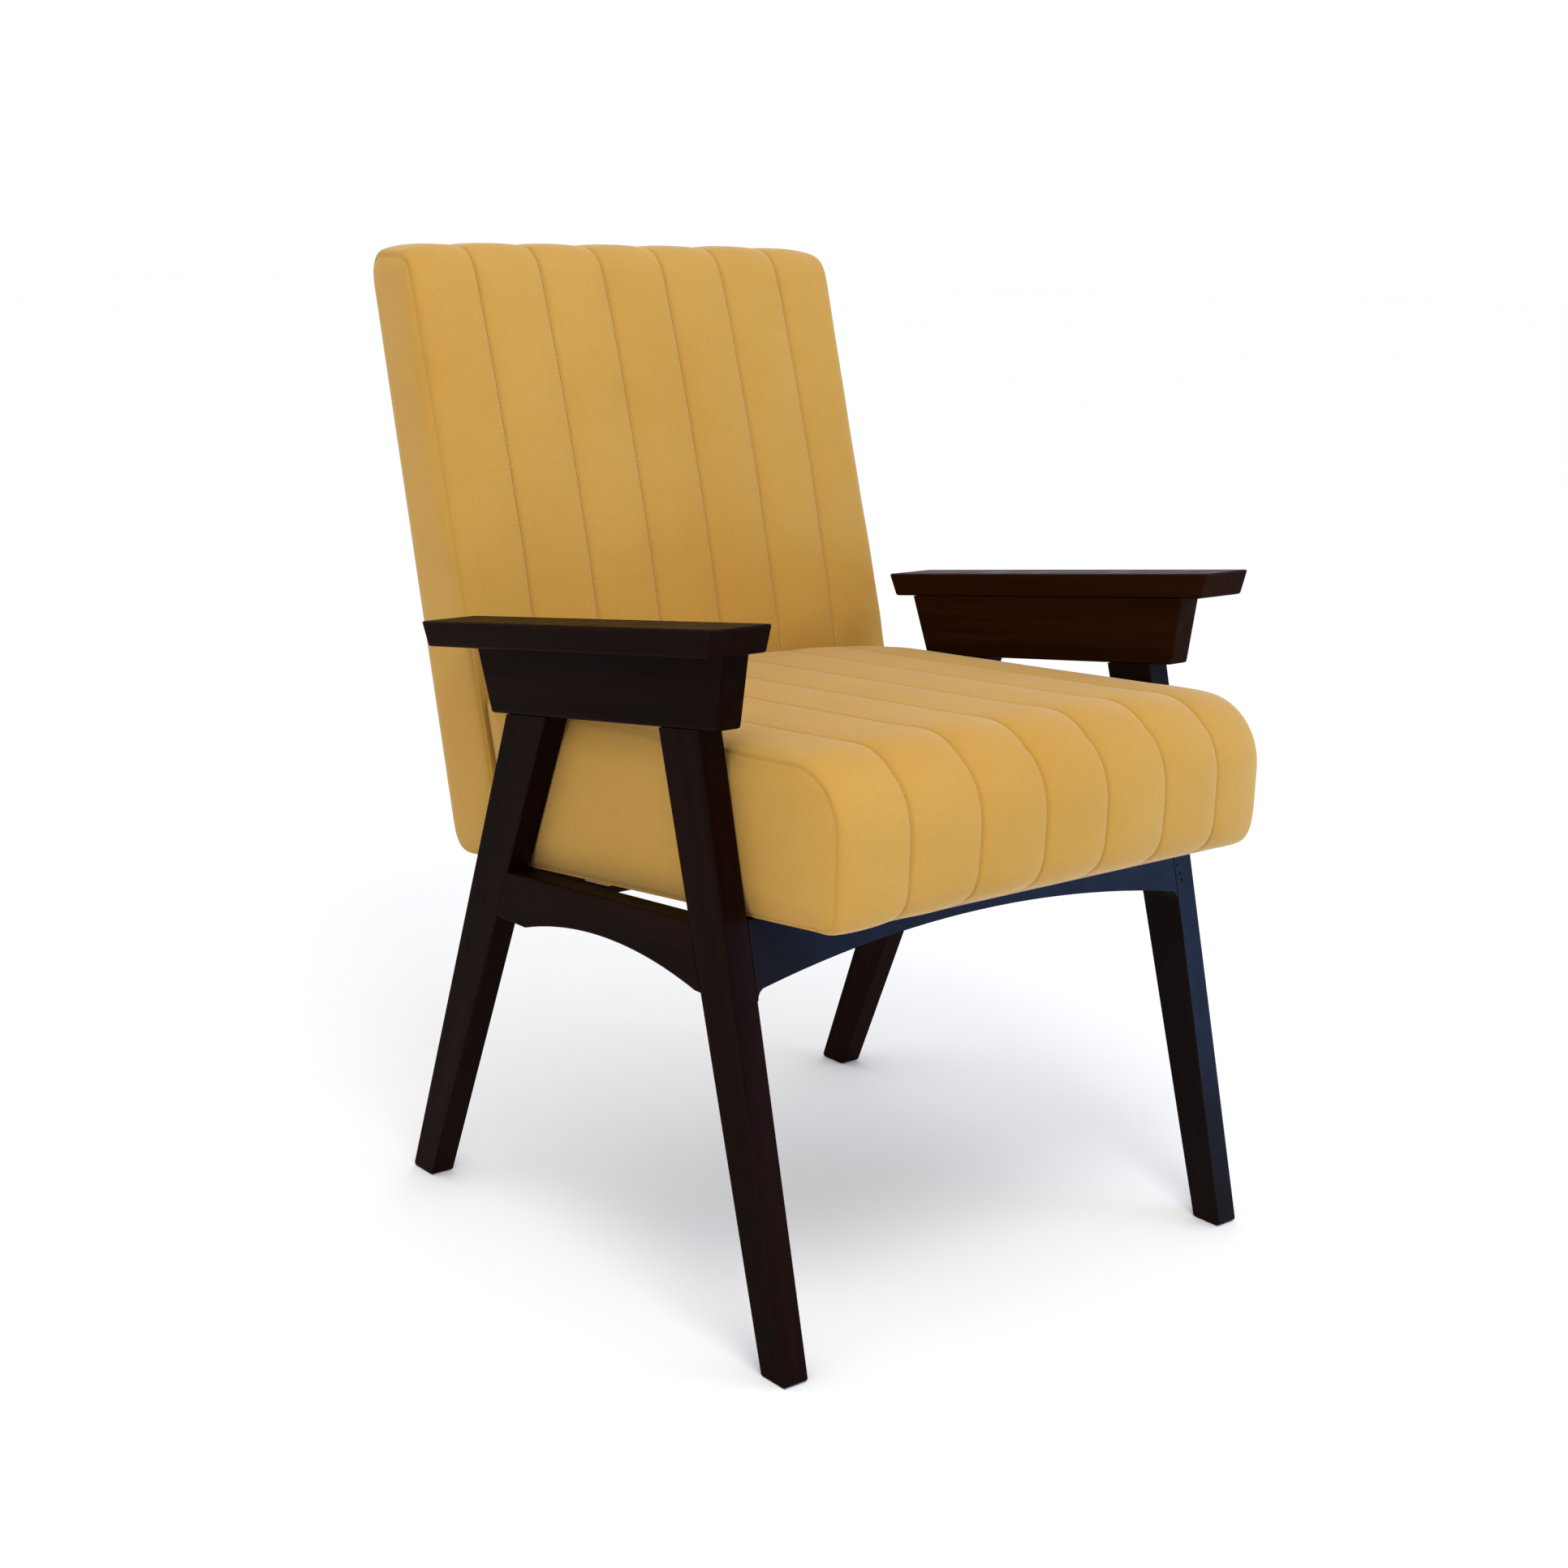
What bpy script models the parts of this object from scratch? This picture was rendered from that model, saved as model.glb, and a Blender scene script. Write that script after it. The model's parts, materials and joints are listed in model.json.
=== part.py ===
"""Upholstered armchair with a lacquered wooden frame, built as separate pieces.

Two sloping side frames (armrest, apron, two raked legs and an arched rail) are joined by
a front and a rear cross rail.  A channelled seat and a reclined back sit between them on
plywood panels, and steel straps tie the back to the seat.  The frame is +Z up, the sitter
faces -Y, and the sitter's right is -X.  The origin is on the floor under the middle.
All sizes are in metres and all angles in degrees.
"""

from math import cos, pi, radians, sin, sqrt

import bmesh
import bpy
from mathutils import Matrix, Vector

# Boards and gaps
BOARD = 0.0252            # thickness of every board in the side frames
GAP = 0.0003              # clearance kept between touching pieces
EASE = 0.0022             # rounding of the boards' edges
PASS = 0.02               # how far a cutter goes past the face that it opens
INNER = 0.2630            # from the middle plane to the inner face of a side frame
OUTER = INNER + BOARD
BOARD_MIDDLE = INNER + BOARD / 2

# Side view: (y on the floor, rake) of each leg edge; a positive rake leans backwards
FRONT_LEG_FRONT = (-0.3387, 13.82)
FRONT_LEG_BACK = (-0.3055, 16.17)
REAR_LEG_FRONT = (0.2292, -22.24)
REAR_LEG_BACK = (0.2646, -19.60)
FOOT_CORNER = 0.003

# Side view: (height at y = 0, slope) of each long edge; a positive slope rises forwards
ARM_SLOPE = 7.18
ARM_TOP = 0.6035
ARM_BOTTOM = 0.5794
APRON_BOTTOM = 0.5153
RAIL_TOP = (0.3597, 4.48)
SEAT_UNDERSIDE = (0.3593, 5.51)
SEAT_TOP = (0.5110, 2.98)

# Armrests and aprons: y of the four corners, whose ends are cut back underneath
ARM_WIDTH = 0.0605
ARM_ENDS_TOP = (-0.2703, 0.1752)
ARM_ENDS_BOTTOM = (-0.2633, 0.1630)
APRON_ENDS_TOP = (-0.2414, 0.1360)
APRON_ENDS_BOTTOM = (-0.2318, 0.1101)

# Rails
SIDE_ARCH = ((0.0573, 0.3053), (-0.0987, 0.3285), (-0.2053, 0.3149))   # three points on it
FRONT_ARCH_CROWN = 0.3490
FRONT_ARCH_RADIUS = 1.400
FRONT_ARCH_FILLET = 0.010
REAR_RAIL_UNDERSIDE = 0.3040
REAR_RAIL_SETBACK = 0.0030
ARCH_STEPS = 24

# Dowels, rail blocks and screws
DOWEL_RADIUS = 0.0040
DOWEL_LENGTH = 0.036
ARM_DOWEL_YS = (-0.150, 0.050)
ARM_DOWEL_DROP = 0.003    # how far a dowel's middle lies below the armrest's underside
LEG_DOWEL_SHARES = (0.27, 0.73)   # places across the leg under the apron
SIDE_RAIL_DOWEL_Z = {"front": 0.342, "rear": 0.328}
CROSS_RAIL_DOWEL_Z = {"front": (0.340, 0.366), "rear": (0.313, 0.341)}
BLOCK_X = 0.160           # middle of each block that carries the seat
BLOCK_WIDTH = 0.060
BLOCK_DEPTH = 0.028
BLOCK_HEIGHT = 0.024
SCREW_SHANK = 0.0022
SCREW_HEAD = 0.0045
SCREW_HEAD_HEIGHT = 0.0026
SCREW_CROWN = 0.7         # the flat of a screw's head, as a share of the head
BLOCK_SCREW_LENGTH = 0.036
STRAP_SCREW_LENGTH = 0.015

# Seat
SEAT_HALF = 0.2580
SEAT_FRONT = -0.3500      # front face at the side seams
SEAT_FRONT_CROWN = 0.014
SEAT_TOP_CROWN = 0.010
SEAT_FRONT_RADIUS = 0.055
SEAT_EDGE_RADIUS = 0.018
SEAT_REAR_TOP_RADIUS = 0.010
CREASE_RADIUS = 0.006     # at the hidden corners where the seat and the back meet
PLY = 0.015
SEAT_PANEL_INSET = 0.012
SEAT_PANEL_REAR_INSET = 0.018

# Back: (y on the floor, lean) of its two faces
BACK_HALF = 0.2625
BACK_FRONT = (0.0257, 16.49)
BACK_REAR = (0.1292, 14.86)
BACK_TOP = 0.9150
BACK_TOP_CROWN = 0.007
BACK_FRONT_CROWN = 0.010
BACK_CROWN_START = 0.010   # height above the seat where the face begins to swell
BACK_CROWN_STEPS = 8
BACK_UNDERSIDE_LIFT = 0.0016
BACK_FRONT_TOP_RADIUS = 0.022
BACK_REAR_TOP_RADIUS = 0.030
BACK_REAR_BOTTOM_RADIUS = 0.022
BACK_COVER = 0.005
BACK_COVER_LAP = 0.010     # how far the rear cover reaches past the panel all round
BACK_PANEL_HALF = 0.238
BACK_PANEL_BOTTOM = 0.366
BACK_PANEL_TOP = 0.864
SEAM_ROUND = 0.005        # rounding along the side seams of both cushions
CREASE = 0.0015           # clearance between the seat and the back
CUSHION_STATIONS = 12

# Steel straps between the seat and the back
STRAP_X = 0.090
STRAP_WIDTH = 0.036
STRAP = 0.004
STRAP_START = 0.044       # y of the front end
STRAP_RISE = 0.110
STRAP_SCREW_HEIGHTS = (0.055, 0.090)
STRAP_SEAT_SCREW = 0.018   # from the strap's front end
STRAP_SLOT_ENDS = (0.010, 0.002)   # room in the cushion below and above the strap

# Dust cover under the seat
CLOTH = 0.0008
CLOTH_HALF = 0.236
CLOTH_ENDS = (-0.186, 0.040)
CLOTH_CORNER = 0.030

SIDES = {"right": -1, "left": 1}

WOOD = ((0.030, 0.013, 0.009), 0.28, 0.0)
VELVET = ((0.640, 0.370, 0.075), 0.85, 0.0)
PLYWOOD = ((0.520, 0.370, 0.220), 0.60, 0.0)
BEECH = ((0.600, 0.420, 0.260), 0.55, 0.0)
STEEL = ((0.480, 0.480, 0.500), 0.35, 1.0)
BLACK_CLOTH = ((0.020, 0.020, 0.022), 0.90, 0.0)


class Line:
    """A straight edge in the side view, through (y, z) at an angle from +y towards +z."""

    def __init__(self, y, z, angle):
        self.point = Vector((y, z))
        self.along = Vector((cos(radians(angle)), sin(radians(angle))))

    @property
    def normal(self):
        return Vector((-self.along.y, self.along.x))

    def shifted(self, distance):
        """The parallel line this far to the left of its direction."""
        moved = Line(0, 0, 0)
        moved.point, moved.along = self.point + self.normal * distance, self.along
        return moved

    def meet(self, other):
        """The point where two lines cross."""
        reach = (other.point - self.point).dot(other.normal) / self.along.dot(other.normal)
        return self.point + self.along * reach

    def at_y(self, y):
        return self.point + self.along * ((y - self.point.x) / self.along.x)

    def at_z(self, z):
        return self.point + self.along * ((z - self.point.y) / self.along.y)

    def holds(self, point):
        return abs((point - self.point).dot(self.normal)) < 2e-5


def upright(floor_y, rake):
    """A raked edge that points upwards, leaning backwards by the rake."""
    return Line(floor_y, 0.0, 90.0 - rake)


def level(height, slope):
    """A nearly level edge that points backwards and rises forwards by the slope."""
    return Line(0.0, height, -slope)


front_leg_front = upright(*FRONT_LEG_FRONT)
front_leg_back = upright(*FRONT_LEG_BACK)
rear_leg_front = upright(*REAR_LEG_FRONT)
rear_leg_back = upright(*REAR_LEG_BACK)
arm_top = level(ARM_TOP, ARM_SLOPE)
arm_bottom = level(ARM_BOTTOM, ARM_SLOPE)
apron_bottom = level(APRON_BOTTOM, ARM_SLOPE)
rail_top = level(*RAIL_TOP)
seat_underside = level(*SEAT_UNDERSIDE)
seat_top = level(*SEAT_TOP)
back_front = upright(*BACK_FRONT)
back_rear = upright(*BACK_REAR)


def clear_scene():
    for old in list(bpy.data.objects):
        bpy.data.objects.remove(old, do_unlink=True)


def finish(name, shape, look):
    """Turn a bmesh into a named object with a material of its own."""
    bmesh.ops.recalc_face_normals(shape, faces=shape.faces)
    mesh = bpy.data.meshes.new(name)
    shape.to_mesh(mesh)
    shape.free()
    mesh.shade_smooth()
    mesh.set_sharp_from_angle(angle=radians(35))
    made = bpy.data.objects.new(name, mesh)
    bpy.context.collection.objects.link(made)
    if look is None:
        made.hide_render = True
        made.display_type = "WIRE"
        return made
    colour, roughness, metallic = look
    material = bpy.data.materials.new(name)
    material.use_nodes = True
    shader = material.node_tree.nodes["Principled BSDF"]
    shader.inputs["Base Color"].default_value = (*colour, 1.0)
    shader.inputs["Roughness"].default_value = roughness
    shader.inputs["Metallic"].default_value = metallic
    mesh.materials.append(material)
    return made


def cut(target, cutter):
    """Take the cutter's shape out of the target."""
    modifier = target.modifiers.new(cutter.name, "BOOLEAN")
    modifier.operation = "DIFFERENCE"
    modifier.solver = "EXACT"
    modifier.object = cutter


def rounded(corners, steps=5):
    """A closed outline whose (point, radius) corners are rounded with arcs."""
    outline = []
    for index, (corner, radius) in enumerate(corners):
        if radius == 0:
            outline.append(corner)
            continue
        before = (corners[index - 1][0] - corner).normalized()
        after = (corners[(index + 1) % len(corners)][0] - corner).normalized()
        half_angle = before.angle(after) / 2
        middle = (before + after).normalized()
        centre = corner + middle * (radius / sin(half_angle))
        reach = radius / (sin(half_angle) / cos(half_angle))
        start = corner + before * reach - centre
        sweep = start.angle_signed(corner + after * reach - centre)
        for step in range(steps + 1):
            turned_by = Matrix.Rotation(-sweep * step / steps, 2)
            outline.append(centre + turned_by @ start)
    return outline


def arc_through(first, middle, last, steps):
    """Points along the circular arc that passes through three points."""
    a, b, c = (Vector(point) for point in (first, middle, last))
    across_ab = Line(0, 0, 0)
    across_ab.point, across_ab.along = (a + b) / 2, Vector((a.y - b.y, b.x - a.x)).normalized()
    across_bc = Line(0, 0, 0)
    across_bc.point, across_bc.along = (b + c) / 2, Vector((b.y - c.y, c.x - b.x)).normalized()
    centre = across_ab.meet(across_bc)
    sweep = (a - centre).angle_signed(c - centre)
    return [centre + Matrix.Rotation(-sweep * step / steps, 2) @ (a - centre)
            for step in range(steps + 1)]


def board(name, outline, x_low, x_high, joints=(), look=WOOD):
    """A board cut to a side-view outline, with its edges eased except along its joints."""
    shape = bmesh.new()
    near = [shape.verts.new((x_low, point.x, point.y)) for point in outline]
    face = shape.faces.new(near)
    grown = bmesh.ops.extrude_face_region(shape, geom=[face])
    moved = [item for item in grown["geom"] if isinstance(item, bmesh.types.BMVert)]
    bmesh.ops.translate(shape, verts=moved, vec=(x_high - x_low, 0, 0))
    bmesh.ops.recalc_face_normals(shape, faces=shape.faces)

    def on_joint(vertex):
        flat = Vector((vertex.co.y, vertex.co.z))
        return {index for index, line in enumerate(joints) if line.holds(flat)}

    eased = [edge for edge in shape.edges
             if edge.calc_face_angle() > radians(25)
             and not (on_joint(edge.verts[0]) & on_joint(edge.verts[1]))]
    bmesh.ops.bevel(shape, geom=eased, offset=EASE, segments=2, profile=0.5,
                    affect="EDGES", clamp_overlap=True)
    return finish(name, shape, look)


def rail_between(name, front_face, rear_face, top, underside, joint_x, look=WOOD):
    """A cross rail between the side frames; underside gives (x, z) points from -X to +X."""
    shape = bmesh.new()
    rows = []
    for face_line, direction in ((front_face, 1), (rear_face, -1)):
        crest = face_line.meet(top)
        row = [shape.verts.new((x, face_line.at_z(z).x, z)) for x, z in underside]
        row.append(shape.verts.new((joint_x, crest.x, crest.y)))
        row.append(shape.verts.new((-joint_x, crest.x, crest.y)))
        shape.faces.new(row[::direction])
        rows.append(row)
    front, rear = rows
    for index, vertex in enumerate(front):
        following = (index + 1) % len(front)
        shape.faces.new((vertex, rear[index], rear[following], front[following]))
    bmesh.ops.recalc_face_normals(shape, faces=shape.faces)
    eased = [edge for edge in shape.edges
             if edge.calc_face_angle() > radians(25)
             and not all(abs(abs(vertex.co.x) - joint_x) < 2e-5 for vertex in edge.verts)]
    bmesh.ops.bevel(shape, geom=eased, offset=EASE, segments=2, profile=0.5,
                    affect="EDGES", clamp_overlap=True)
    return finish(name, shape, look)


def rod(name, centre, direction, radius, length, look):
    """A round rod about its centre, lying along a direction."""
    shape = bmesh.new()
    turn = Vector(direction).to_track_quat("Z", "X").to_matrix().to_4x4()
    bmesh.ops.create_cone(shape, cap_ends=True, segments=20, radius1=radius, radius2=radius,
                          depth=length, matrix=Matrix.Translation(centre) @ turn)
    return finish(name, shape, look)


def dowel(name, centre, direction, boards):
    """A dowel across a joint, with a snug blind hole in each of the two boards."""
    rod(name, centre, direction, DOWEL_RADIUS, DOWEL_LENGTH, BEECH)
    hole = rod(name + "_hole", centre, direction, DOWEL_RADIUS + GAP,
               DOWEL_LENGTH + 4 * GAP, None)
    for piece in boards:
        cut(piece, hole)


def screw(name, seat_point, direction, length, pieces):
    """A pan-head screw whose head sits on seat_point, and its hole through the pieces."""
    turn = Vector(direction).to_track_quat("Z", "X").to_matrix().to_4x4()
    place = Matrix.Translation(Vector(seat_point)) @ turn
    shape = bmesh.new()
    profile = ((0, -SCREW_HEAD_HEIGHT - GAP), (SCREW_HEAD * SCREW_CROWN, -SCREW_HEAD_HEIGHT - GAP),
               (SCREW_HEAD, -SCREW_HEAD_HEIGHT / 2), (SCREW_HEAD, -GAP), (SCREW_SHANK, -GAP),
               (SCREW_SHANK, length - 2 * SCREW_SHANK), (0, length))
    verts = [shape.verts.new((radius, 0, height)) for radius, height in profile]
    edges = [shape.edges.new(pair) for pair in zip(verts, verts[1:])]
    bmesh.ops.spin(shape, geom=verts + edges, cent=(0, 0, 0), axis=(0, 0, 1),
                   angle=2 * pi, steps=20)
    bmesh.ops.remove_doubles(shape, verts=shape.verts, dist=1e-6)
    bmesh.ops.transform(shape, matrix=place, verts=shape.verts)
    finish(name, shape, STEEL)
    middle = Vector(seat_point) + Vector(direction).normalized() * (length / 2)
    hole = rod(name + "_hole", middle, direction, SCREW_SHANK + GAP, length + 2 * GAP, None)
    for piece in pieces:
        cut(piece, hole)


def slab(name, x_half, line, start_y, end_y, low, high, look, corner=0.0):
    """A flat panel along a side-view line, between two heights above that line."""
    start, end = line.at_y(start_y), line.at_y(end_y)
    shape = bmesh.new()
    across = [(-x_half, corner), (-x_half + corner, 0.0)] if corner else [(-x_half, 0.0)]
    ring = [(x, start + line.along * inset) for x, inset in across]
    ring += [(-x, point) for x, point in ring[::-1]]
    far = [(x, end - line.along * inset) for x, inset in across]
    ring += [(-x, point) for x, point in far]
    ring += [(x, point) for x, point in far[::-1]]
    base = [shape.verts.new((x, *(point + line.normal * low))) for x, point in ring]
    grown = bmesh.ops.extrude_face_region(shape, geom=[shape.faces.new(base)])
    moved = [item for item in grown["geom"] if isinstance(item, bmesh.types.BMVert)]
    lift = line.normal * (high - low)
    bmesh.ops.translate(shape, verts=moved, vec=(0, lift.x, lift.y))
    return finish(name, shape, look)


def side_frame(side, sign):
    """One armrest, apron, pair of legs and arched rail, with their dowels."""
    low, high = sorted((sign * INNER, sign * OUTER))
    arm_low, arm_high = sorted((sign * INNER, sign * (INNER + ARM_WIDTH)))

    arm_seat = arm_bottom.shifted(GAP)
    armrest = board(f"armrest_{side}", [
        arm_seat.at_y(ARM_ENDS_BOTTOM[0]), arm_seat.at_y(ARM_ENDS_BOTTOM[1]),
        arm_top.at_y(ARM_ENDS_TOP[1]), arm_top.at_y(ARM_ENDS_TOP[0])], arm_low, arm_high)

    apron = board(f"arm_apron_{side}", [
        apron_bottom.at_y(APRON_ENDS_BOTTOM[0]), apron_bottom.at_y(APRON_ENDS_BOTTOM[1]),
        arm_bottom.at_y(APRON_ENDS_TOP[1]), arm_bottom.at_y(APRON_ENDS_TOP[0])],
        low, high, joints=[arm_bottom])

    floor = Line(0, 0, 0)
    leg_top = apron_bottom.shifted(-GAP)
    legs = {}
    for name, front, back in (("front", front_leg_front, front_leg_back),
                              ("rear", rear_leg_front, rear_leg_back)):
        legs[name] = board(f"{name}_leg_{side}", rounded([
            (front.meet(floor), FOOT_CORNER), (back.meet(floor), FOOT_CORNER),
            (back.meet(leg_top), 0), (front.meet(leg_top), 0)], steps=3),
            low, high, joints=[leg_top])

    rail_ends = [front_leg_back.shifted(-GAP), rear_leg_front.shifted(GAP)]
    arch = arc_through(*SIDE_ARCH, steps=ARCH_STEPS)
    springing = [Line(*arch[-1], 0), Line(*arch[0], 0)]
    ends = [rail_ends[0].meet(springing[0]), rail_ends[1].meet(springing[1])]
    side_rail = board(f"side_rail_{side}", [
        rail_ends[0].meet(rail_top), ends[0], *arch[::-1], ends[1],
        rail_ends[1].meet(rail_top)], low, high, joints=rail_ends)

    x = sign * BOARD_MIDDLE
    for index, y in enumerate(ARM_DOWEL_YS, start=1):
        point = arm_bottom.at_y(y) - arm_bottom.normal * ARM_DOWEL_DROP
        dowel(f"dowel_arm_{side}_{index}", (x, *point), (0, *arm_bottom.normal),
              (armrest, apron))
    for name, front, back in (("front", front_leg_front, front_leg_back),
                              ("rear", rear_leg_front, rear_leg_back)):
        corners = front.meet(apron_bottom), back.meet(apron_bottom)
        for index, share in enumerate(LEG_DOWEL_SHARES, start=1):
            point = corners[0].lerp(corners[1], share)
            dowel(f"dowel_{name}_leg_{side}_{index}", (x, *point),
                  (0, *apron_bottom.normal), (apron, legs[name]))
    for name, line in (("front", front_leg_back), ("rear", rear_leg_front)):
        point = line.at_z(SIDE_RAIL_DOWEL_Z[name])
        dowel(f"dowel_side_rail_{name}_{side}", (x, *point), (0, 1, 0),
              (side_rail, legs[name]))
    return legs


def front_rail():
    """The arched cross rail, flush with the front legs' front faces."""
    joint_x = INNER - GAP
    turn_x = joint_x - FRONT_ARCH_FILLET

    def arch_height(x):
        return FRONT_ARCH_CROWN - FRONT_ARCH_RADIUS + sqrt(FRONT_ARCH_RADIUS**2 - x * x)

    arch = []
    for step in range(ARCH_STEPS + 1):
        x = turn_x * (2 * step / ARCH_STEPS - 1)
        arch.append((x, arch_height(x)))
    tip = arch_height(turn_x) - FRONT_ARCH_FILLET
    fillet = []
    for step in range(4):
        swing = pi / 2 * step / 4
        fillet.append((joint_x - FRONT_ARCH_FILLET * (1 - cos(swing)) - GAP,
                       tip + FRONT_ARCH_FILLET * sin(swing)))
    left_end = [(-x, z) for x, z in fillet]
    underside = [(-joint_x, tip), *left_end, *arch, *fillet[::-1], (joint_x, tip)]
    return rail_between("front_rail", front_leg_front, front_leg_front.shifted(-BOARD),
                        seat_underside.shifted(-GAP), underside, joint_x)


def rear_rail():
    """The straight cross rail just behind the rear legs' front faces."""
    joint_x = INNER - GAP
    face = rear_leg_front.shifted(-REAR_RAIL_SETBACK)
    underside = [(-joint_x, REAR_RAIL_UNDERSIDE), (joint_x, REAR_RAIL_UNDERSIDE)]
    return rail_between("rear_rail", face, face.shifted(-BOARD),
                        seat_underside.shifted(-GAP), underside, joint_x)


def cross_rails(legs):
    """Both cross rails, doweled into the legs."""
    front, rear = front_rail(), rear_rail()
    front_middle = front_leg_front.shifted(-BOARD / 2)
    rear_middle = rear_leg_front.shifted(-REAR_RAIL_SETBACK - BOARD / 2)
    for side, sign in SIDES.items():
        for name, rail, middle in (("front", front, front_middle),
                                   ("rear", rear, rear_middle)):
            for index, height in enumerate(CROSS_RAIL_DOWEL_Z[name], start=1):
                point = middle.at_z(height)
                dowel(f"dowel_{name}_rail_{side}_{index}", (sign * INNER, *point),
                      (1, 0, 0), (rail, legs[side][name]))
    return front, rear


def rail_block(name, x, rail_face, forwards):
    """A glued block against a cross rail, level with the rail's top edge."""
    top = seat_underside.shifted(-GAP)
    ahead_y = rail_face.meet(top).x + forwards * BLOCK_DEPTH
    shape = bmesh.new()
    for plane in (top, top.shifted(-BLOCK_HEIGHT)):
        against, ahead = rail_face.meet(plane), plane.at_y(ahead_y)
        for end in (x - BLOCK_WIDTH / 2, x + BLOCK_WIDTH / 2):
            shape.verts.new((end, *against))
            shape.verts.new((end, *ahead))
    bmesh.ops.convex_hull(shape, input=shape.verts)
    return finish(name, shape, BEECH)


def rail_blocks(seat_panel):
    """Four glued blocks that carry the seat, each with a screw up into its panel."""
    behind_front_rail = front_leg_front.shifted(-BOARD - GAP)
    before_rear_rail = rear_leg_front.shifted(-REAR_RAIL_SETBACK + GAP)
    top = seat_underside.shifted(-GAP)
    for side, sign in SIDES.items():
        for name, face, forwards in (("front", behind_front_rail, 1),
                                     ("rear", before_rear_rail, -1)):
            block = rail_block(f"rail_block_{name}_{side}", sign * BLOCK_X, face, forwards)
            middle = top.at_y(face.meet(top).x + forwards * BLOCK_DEPTH / 2)
            foot = middle - top.normal * BLOCK_HEIGHT
            screw(f"seat_screw_{name}_{side}", (sign * BLOCK_X, *foot),
                  (0, *seat_underside.normal), BLOCK_SCREW_LENGTH, (block, seat_panel))


def cushion(name, half_width, profile, look=VELVET):
    """A boxed cushion: side-view profiles lofted across its width, full in the middle."""
    shape = bmesh.new()
    rings = []
    for station in range(CUSHION_STATIONS + 1):
        x = half_width * (2 * station / CUSHION_STATIONS - 1)
        fullness = 1 - (x / half_width) ** 4
        rings.append([shape.verts.new((x, *point)) for point in profile(fullness)])
    for ring, following in zip(rings, rings[1:]):
        for index in range(len(ring)):
            after = (index + 1) % len(ring)
            shape.faces.new((ring[index], ring[after], following[after], following[index]))
    caps = [shape.faces.new(rings[0][::-1]), shape.faces.new(rings[-1])]
    bmesh.ops.recalc_face_normals(shape, faces=shape.faces)
    seams = [edge for cap in caps for edge in cap.edges]
    bmesh.ops.bevel(shape, geom=seams, offset=SEAM_ROUND, segments=3, profile=0.5,
                    affect="EDGES", clamp_overlap=True)
    return finish(name, shape, look)


def seat_profile(fullness):
    """The seat in side view: a flat underside, a rounded front and a gently full top."""
    front = Line(SEAT_FRONT - SEAT_FRONT_CROWN * fullness, 0, 90)
    top = seat_top.shifted(SEAT_TOP_CROWN * fullness)
    rear = back_front.shifted(CREASE)
    return rounded([(seat_underside.meet(front), SEAT_EDGE_RADIUS),
                    (seat_underside.meet(rear), CREASE_RADIUS),
                    (top.meet(rear), SEAT_REAR_TOP_RADIUS),
                    (top.meet(front), SEAT_FRONT_RADIUS)], steps=7)


def seat():
    """The plywood seat panel, let into the underside of its cushion."""
    rear_end = seat_underside.meet(back_front).x - SEAT_PANEL_REAR_INSET
    front_end = SEAT_FRONT + SEAT_PANEL_INSET
    half = SEAT_HALF - SEAT_PANEL_INSET
    panel = slab("seat_panel", half, seat_underside, front_end, rear_end, 0, PLY, PLYWOOD)
    pocket = slab("seat_pocket", half + GAP, seat_underside, front_end - GAP,
                  rear_end + GAP, -PASS, PLY + GAP, None)
    pad = cushion("seat_cushion", SEAT_HALF, seat_profile)
    cut(pad, pocket)
    return panel


def back_profile(fullness):
    """The back in side view: a reclined block with soft corners and a full front."""
    bottom = seat_underside.shifted(BACK_UNDERSIDE_LIFT)
    top = Line(0, BACK_TOP + BACK_TOP_CROWN * fullness, 0)
    outline = rounded([(back_front.meet(bottom), CREASE_RADIUS),
                       (back_rear.meet(bottom), BACK_REAR_BOTTOM_RADIUS),
                       (back_rear.meet(top), BACK_REAR_TOP_RADIUS),
                       (back_front.meet(top), BACK_FRONT_TOP_RADIUS)], steps=5)
    low = back_front.meet(seat_top.shifted(SEAT_TOP_CROWN)).y + BACK_CROWN_START
    high = outline[-1].y
    for step in range(1, BACK_CROWN_STEPS):
        share = step / BACK_CROWN_STEPS
        bulge = BACK_FRONT_CROWN * fullness * sin(pi * share)
        outline.append(back_front.at_z(high + (low - high) * share)
                       + back_front.normal * bulge)
    outline.append(back_front.at_z(low))
    return outline


def back():
    """The back: a plywood panel in a pocket of the cushion, closed by a thin rear cover."""
    panel_rear = BACK_COVER + GAP
    panel_face = panel_rear + PLY

    def leaning_slab(name, half, inset, room, low, high, look):
        bottom, top = BACK_PANEL_BOTTOM - inset - room, BACK_PANEL_TOP + inset + room
        return slab(name, half + inset + room, back_rear, back_rear.at_z(bottom).x,
                    back_rear.at_z(top).x, low, high, look)

    leaning_slab("back_cover", BACK_PANEL_HALF, BACK_COVER_LAP, 0, 0, BACK_COVER, VELVET)
    panel = leaning_slab("back_panel", BACK_PANEL_HALF, 0, 0, panel_rear, panel_face, PLYWOOD)
    rebate = leaning_slab("back_rebate", BACK_PANEL_HALF, BACK_COVER_LAP, GAP,
                          -BACK_COVER, BACK_COVER + GAP, None)
    pocket = leaning_slab("back_pocket", BACK_PANEL_HALF, 0, GAP,
                          BACK_COVER, panel_face + GAP, None)
    pad = cushion("back_cushion", BACK_HALF, back_profile)
    cut(pad, rebate)
    cut(pad, pocket)
    return panel, pad, back_rear.shifted(panel_face)


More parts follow.
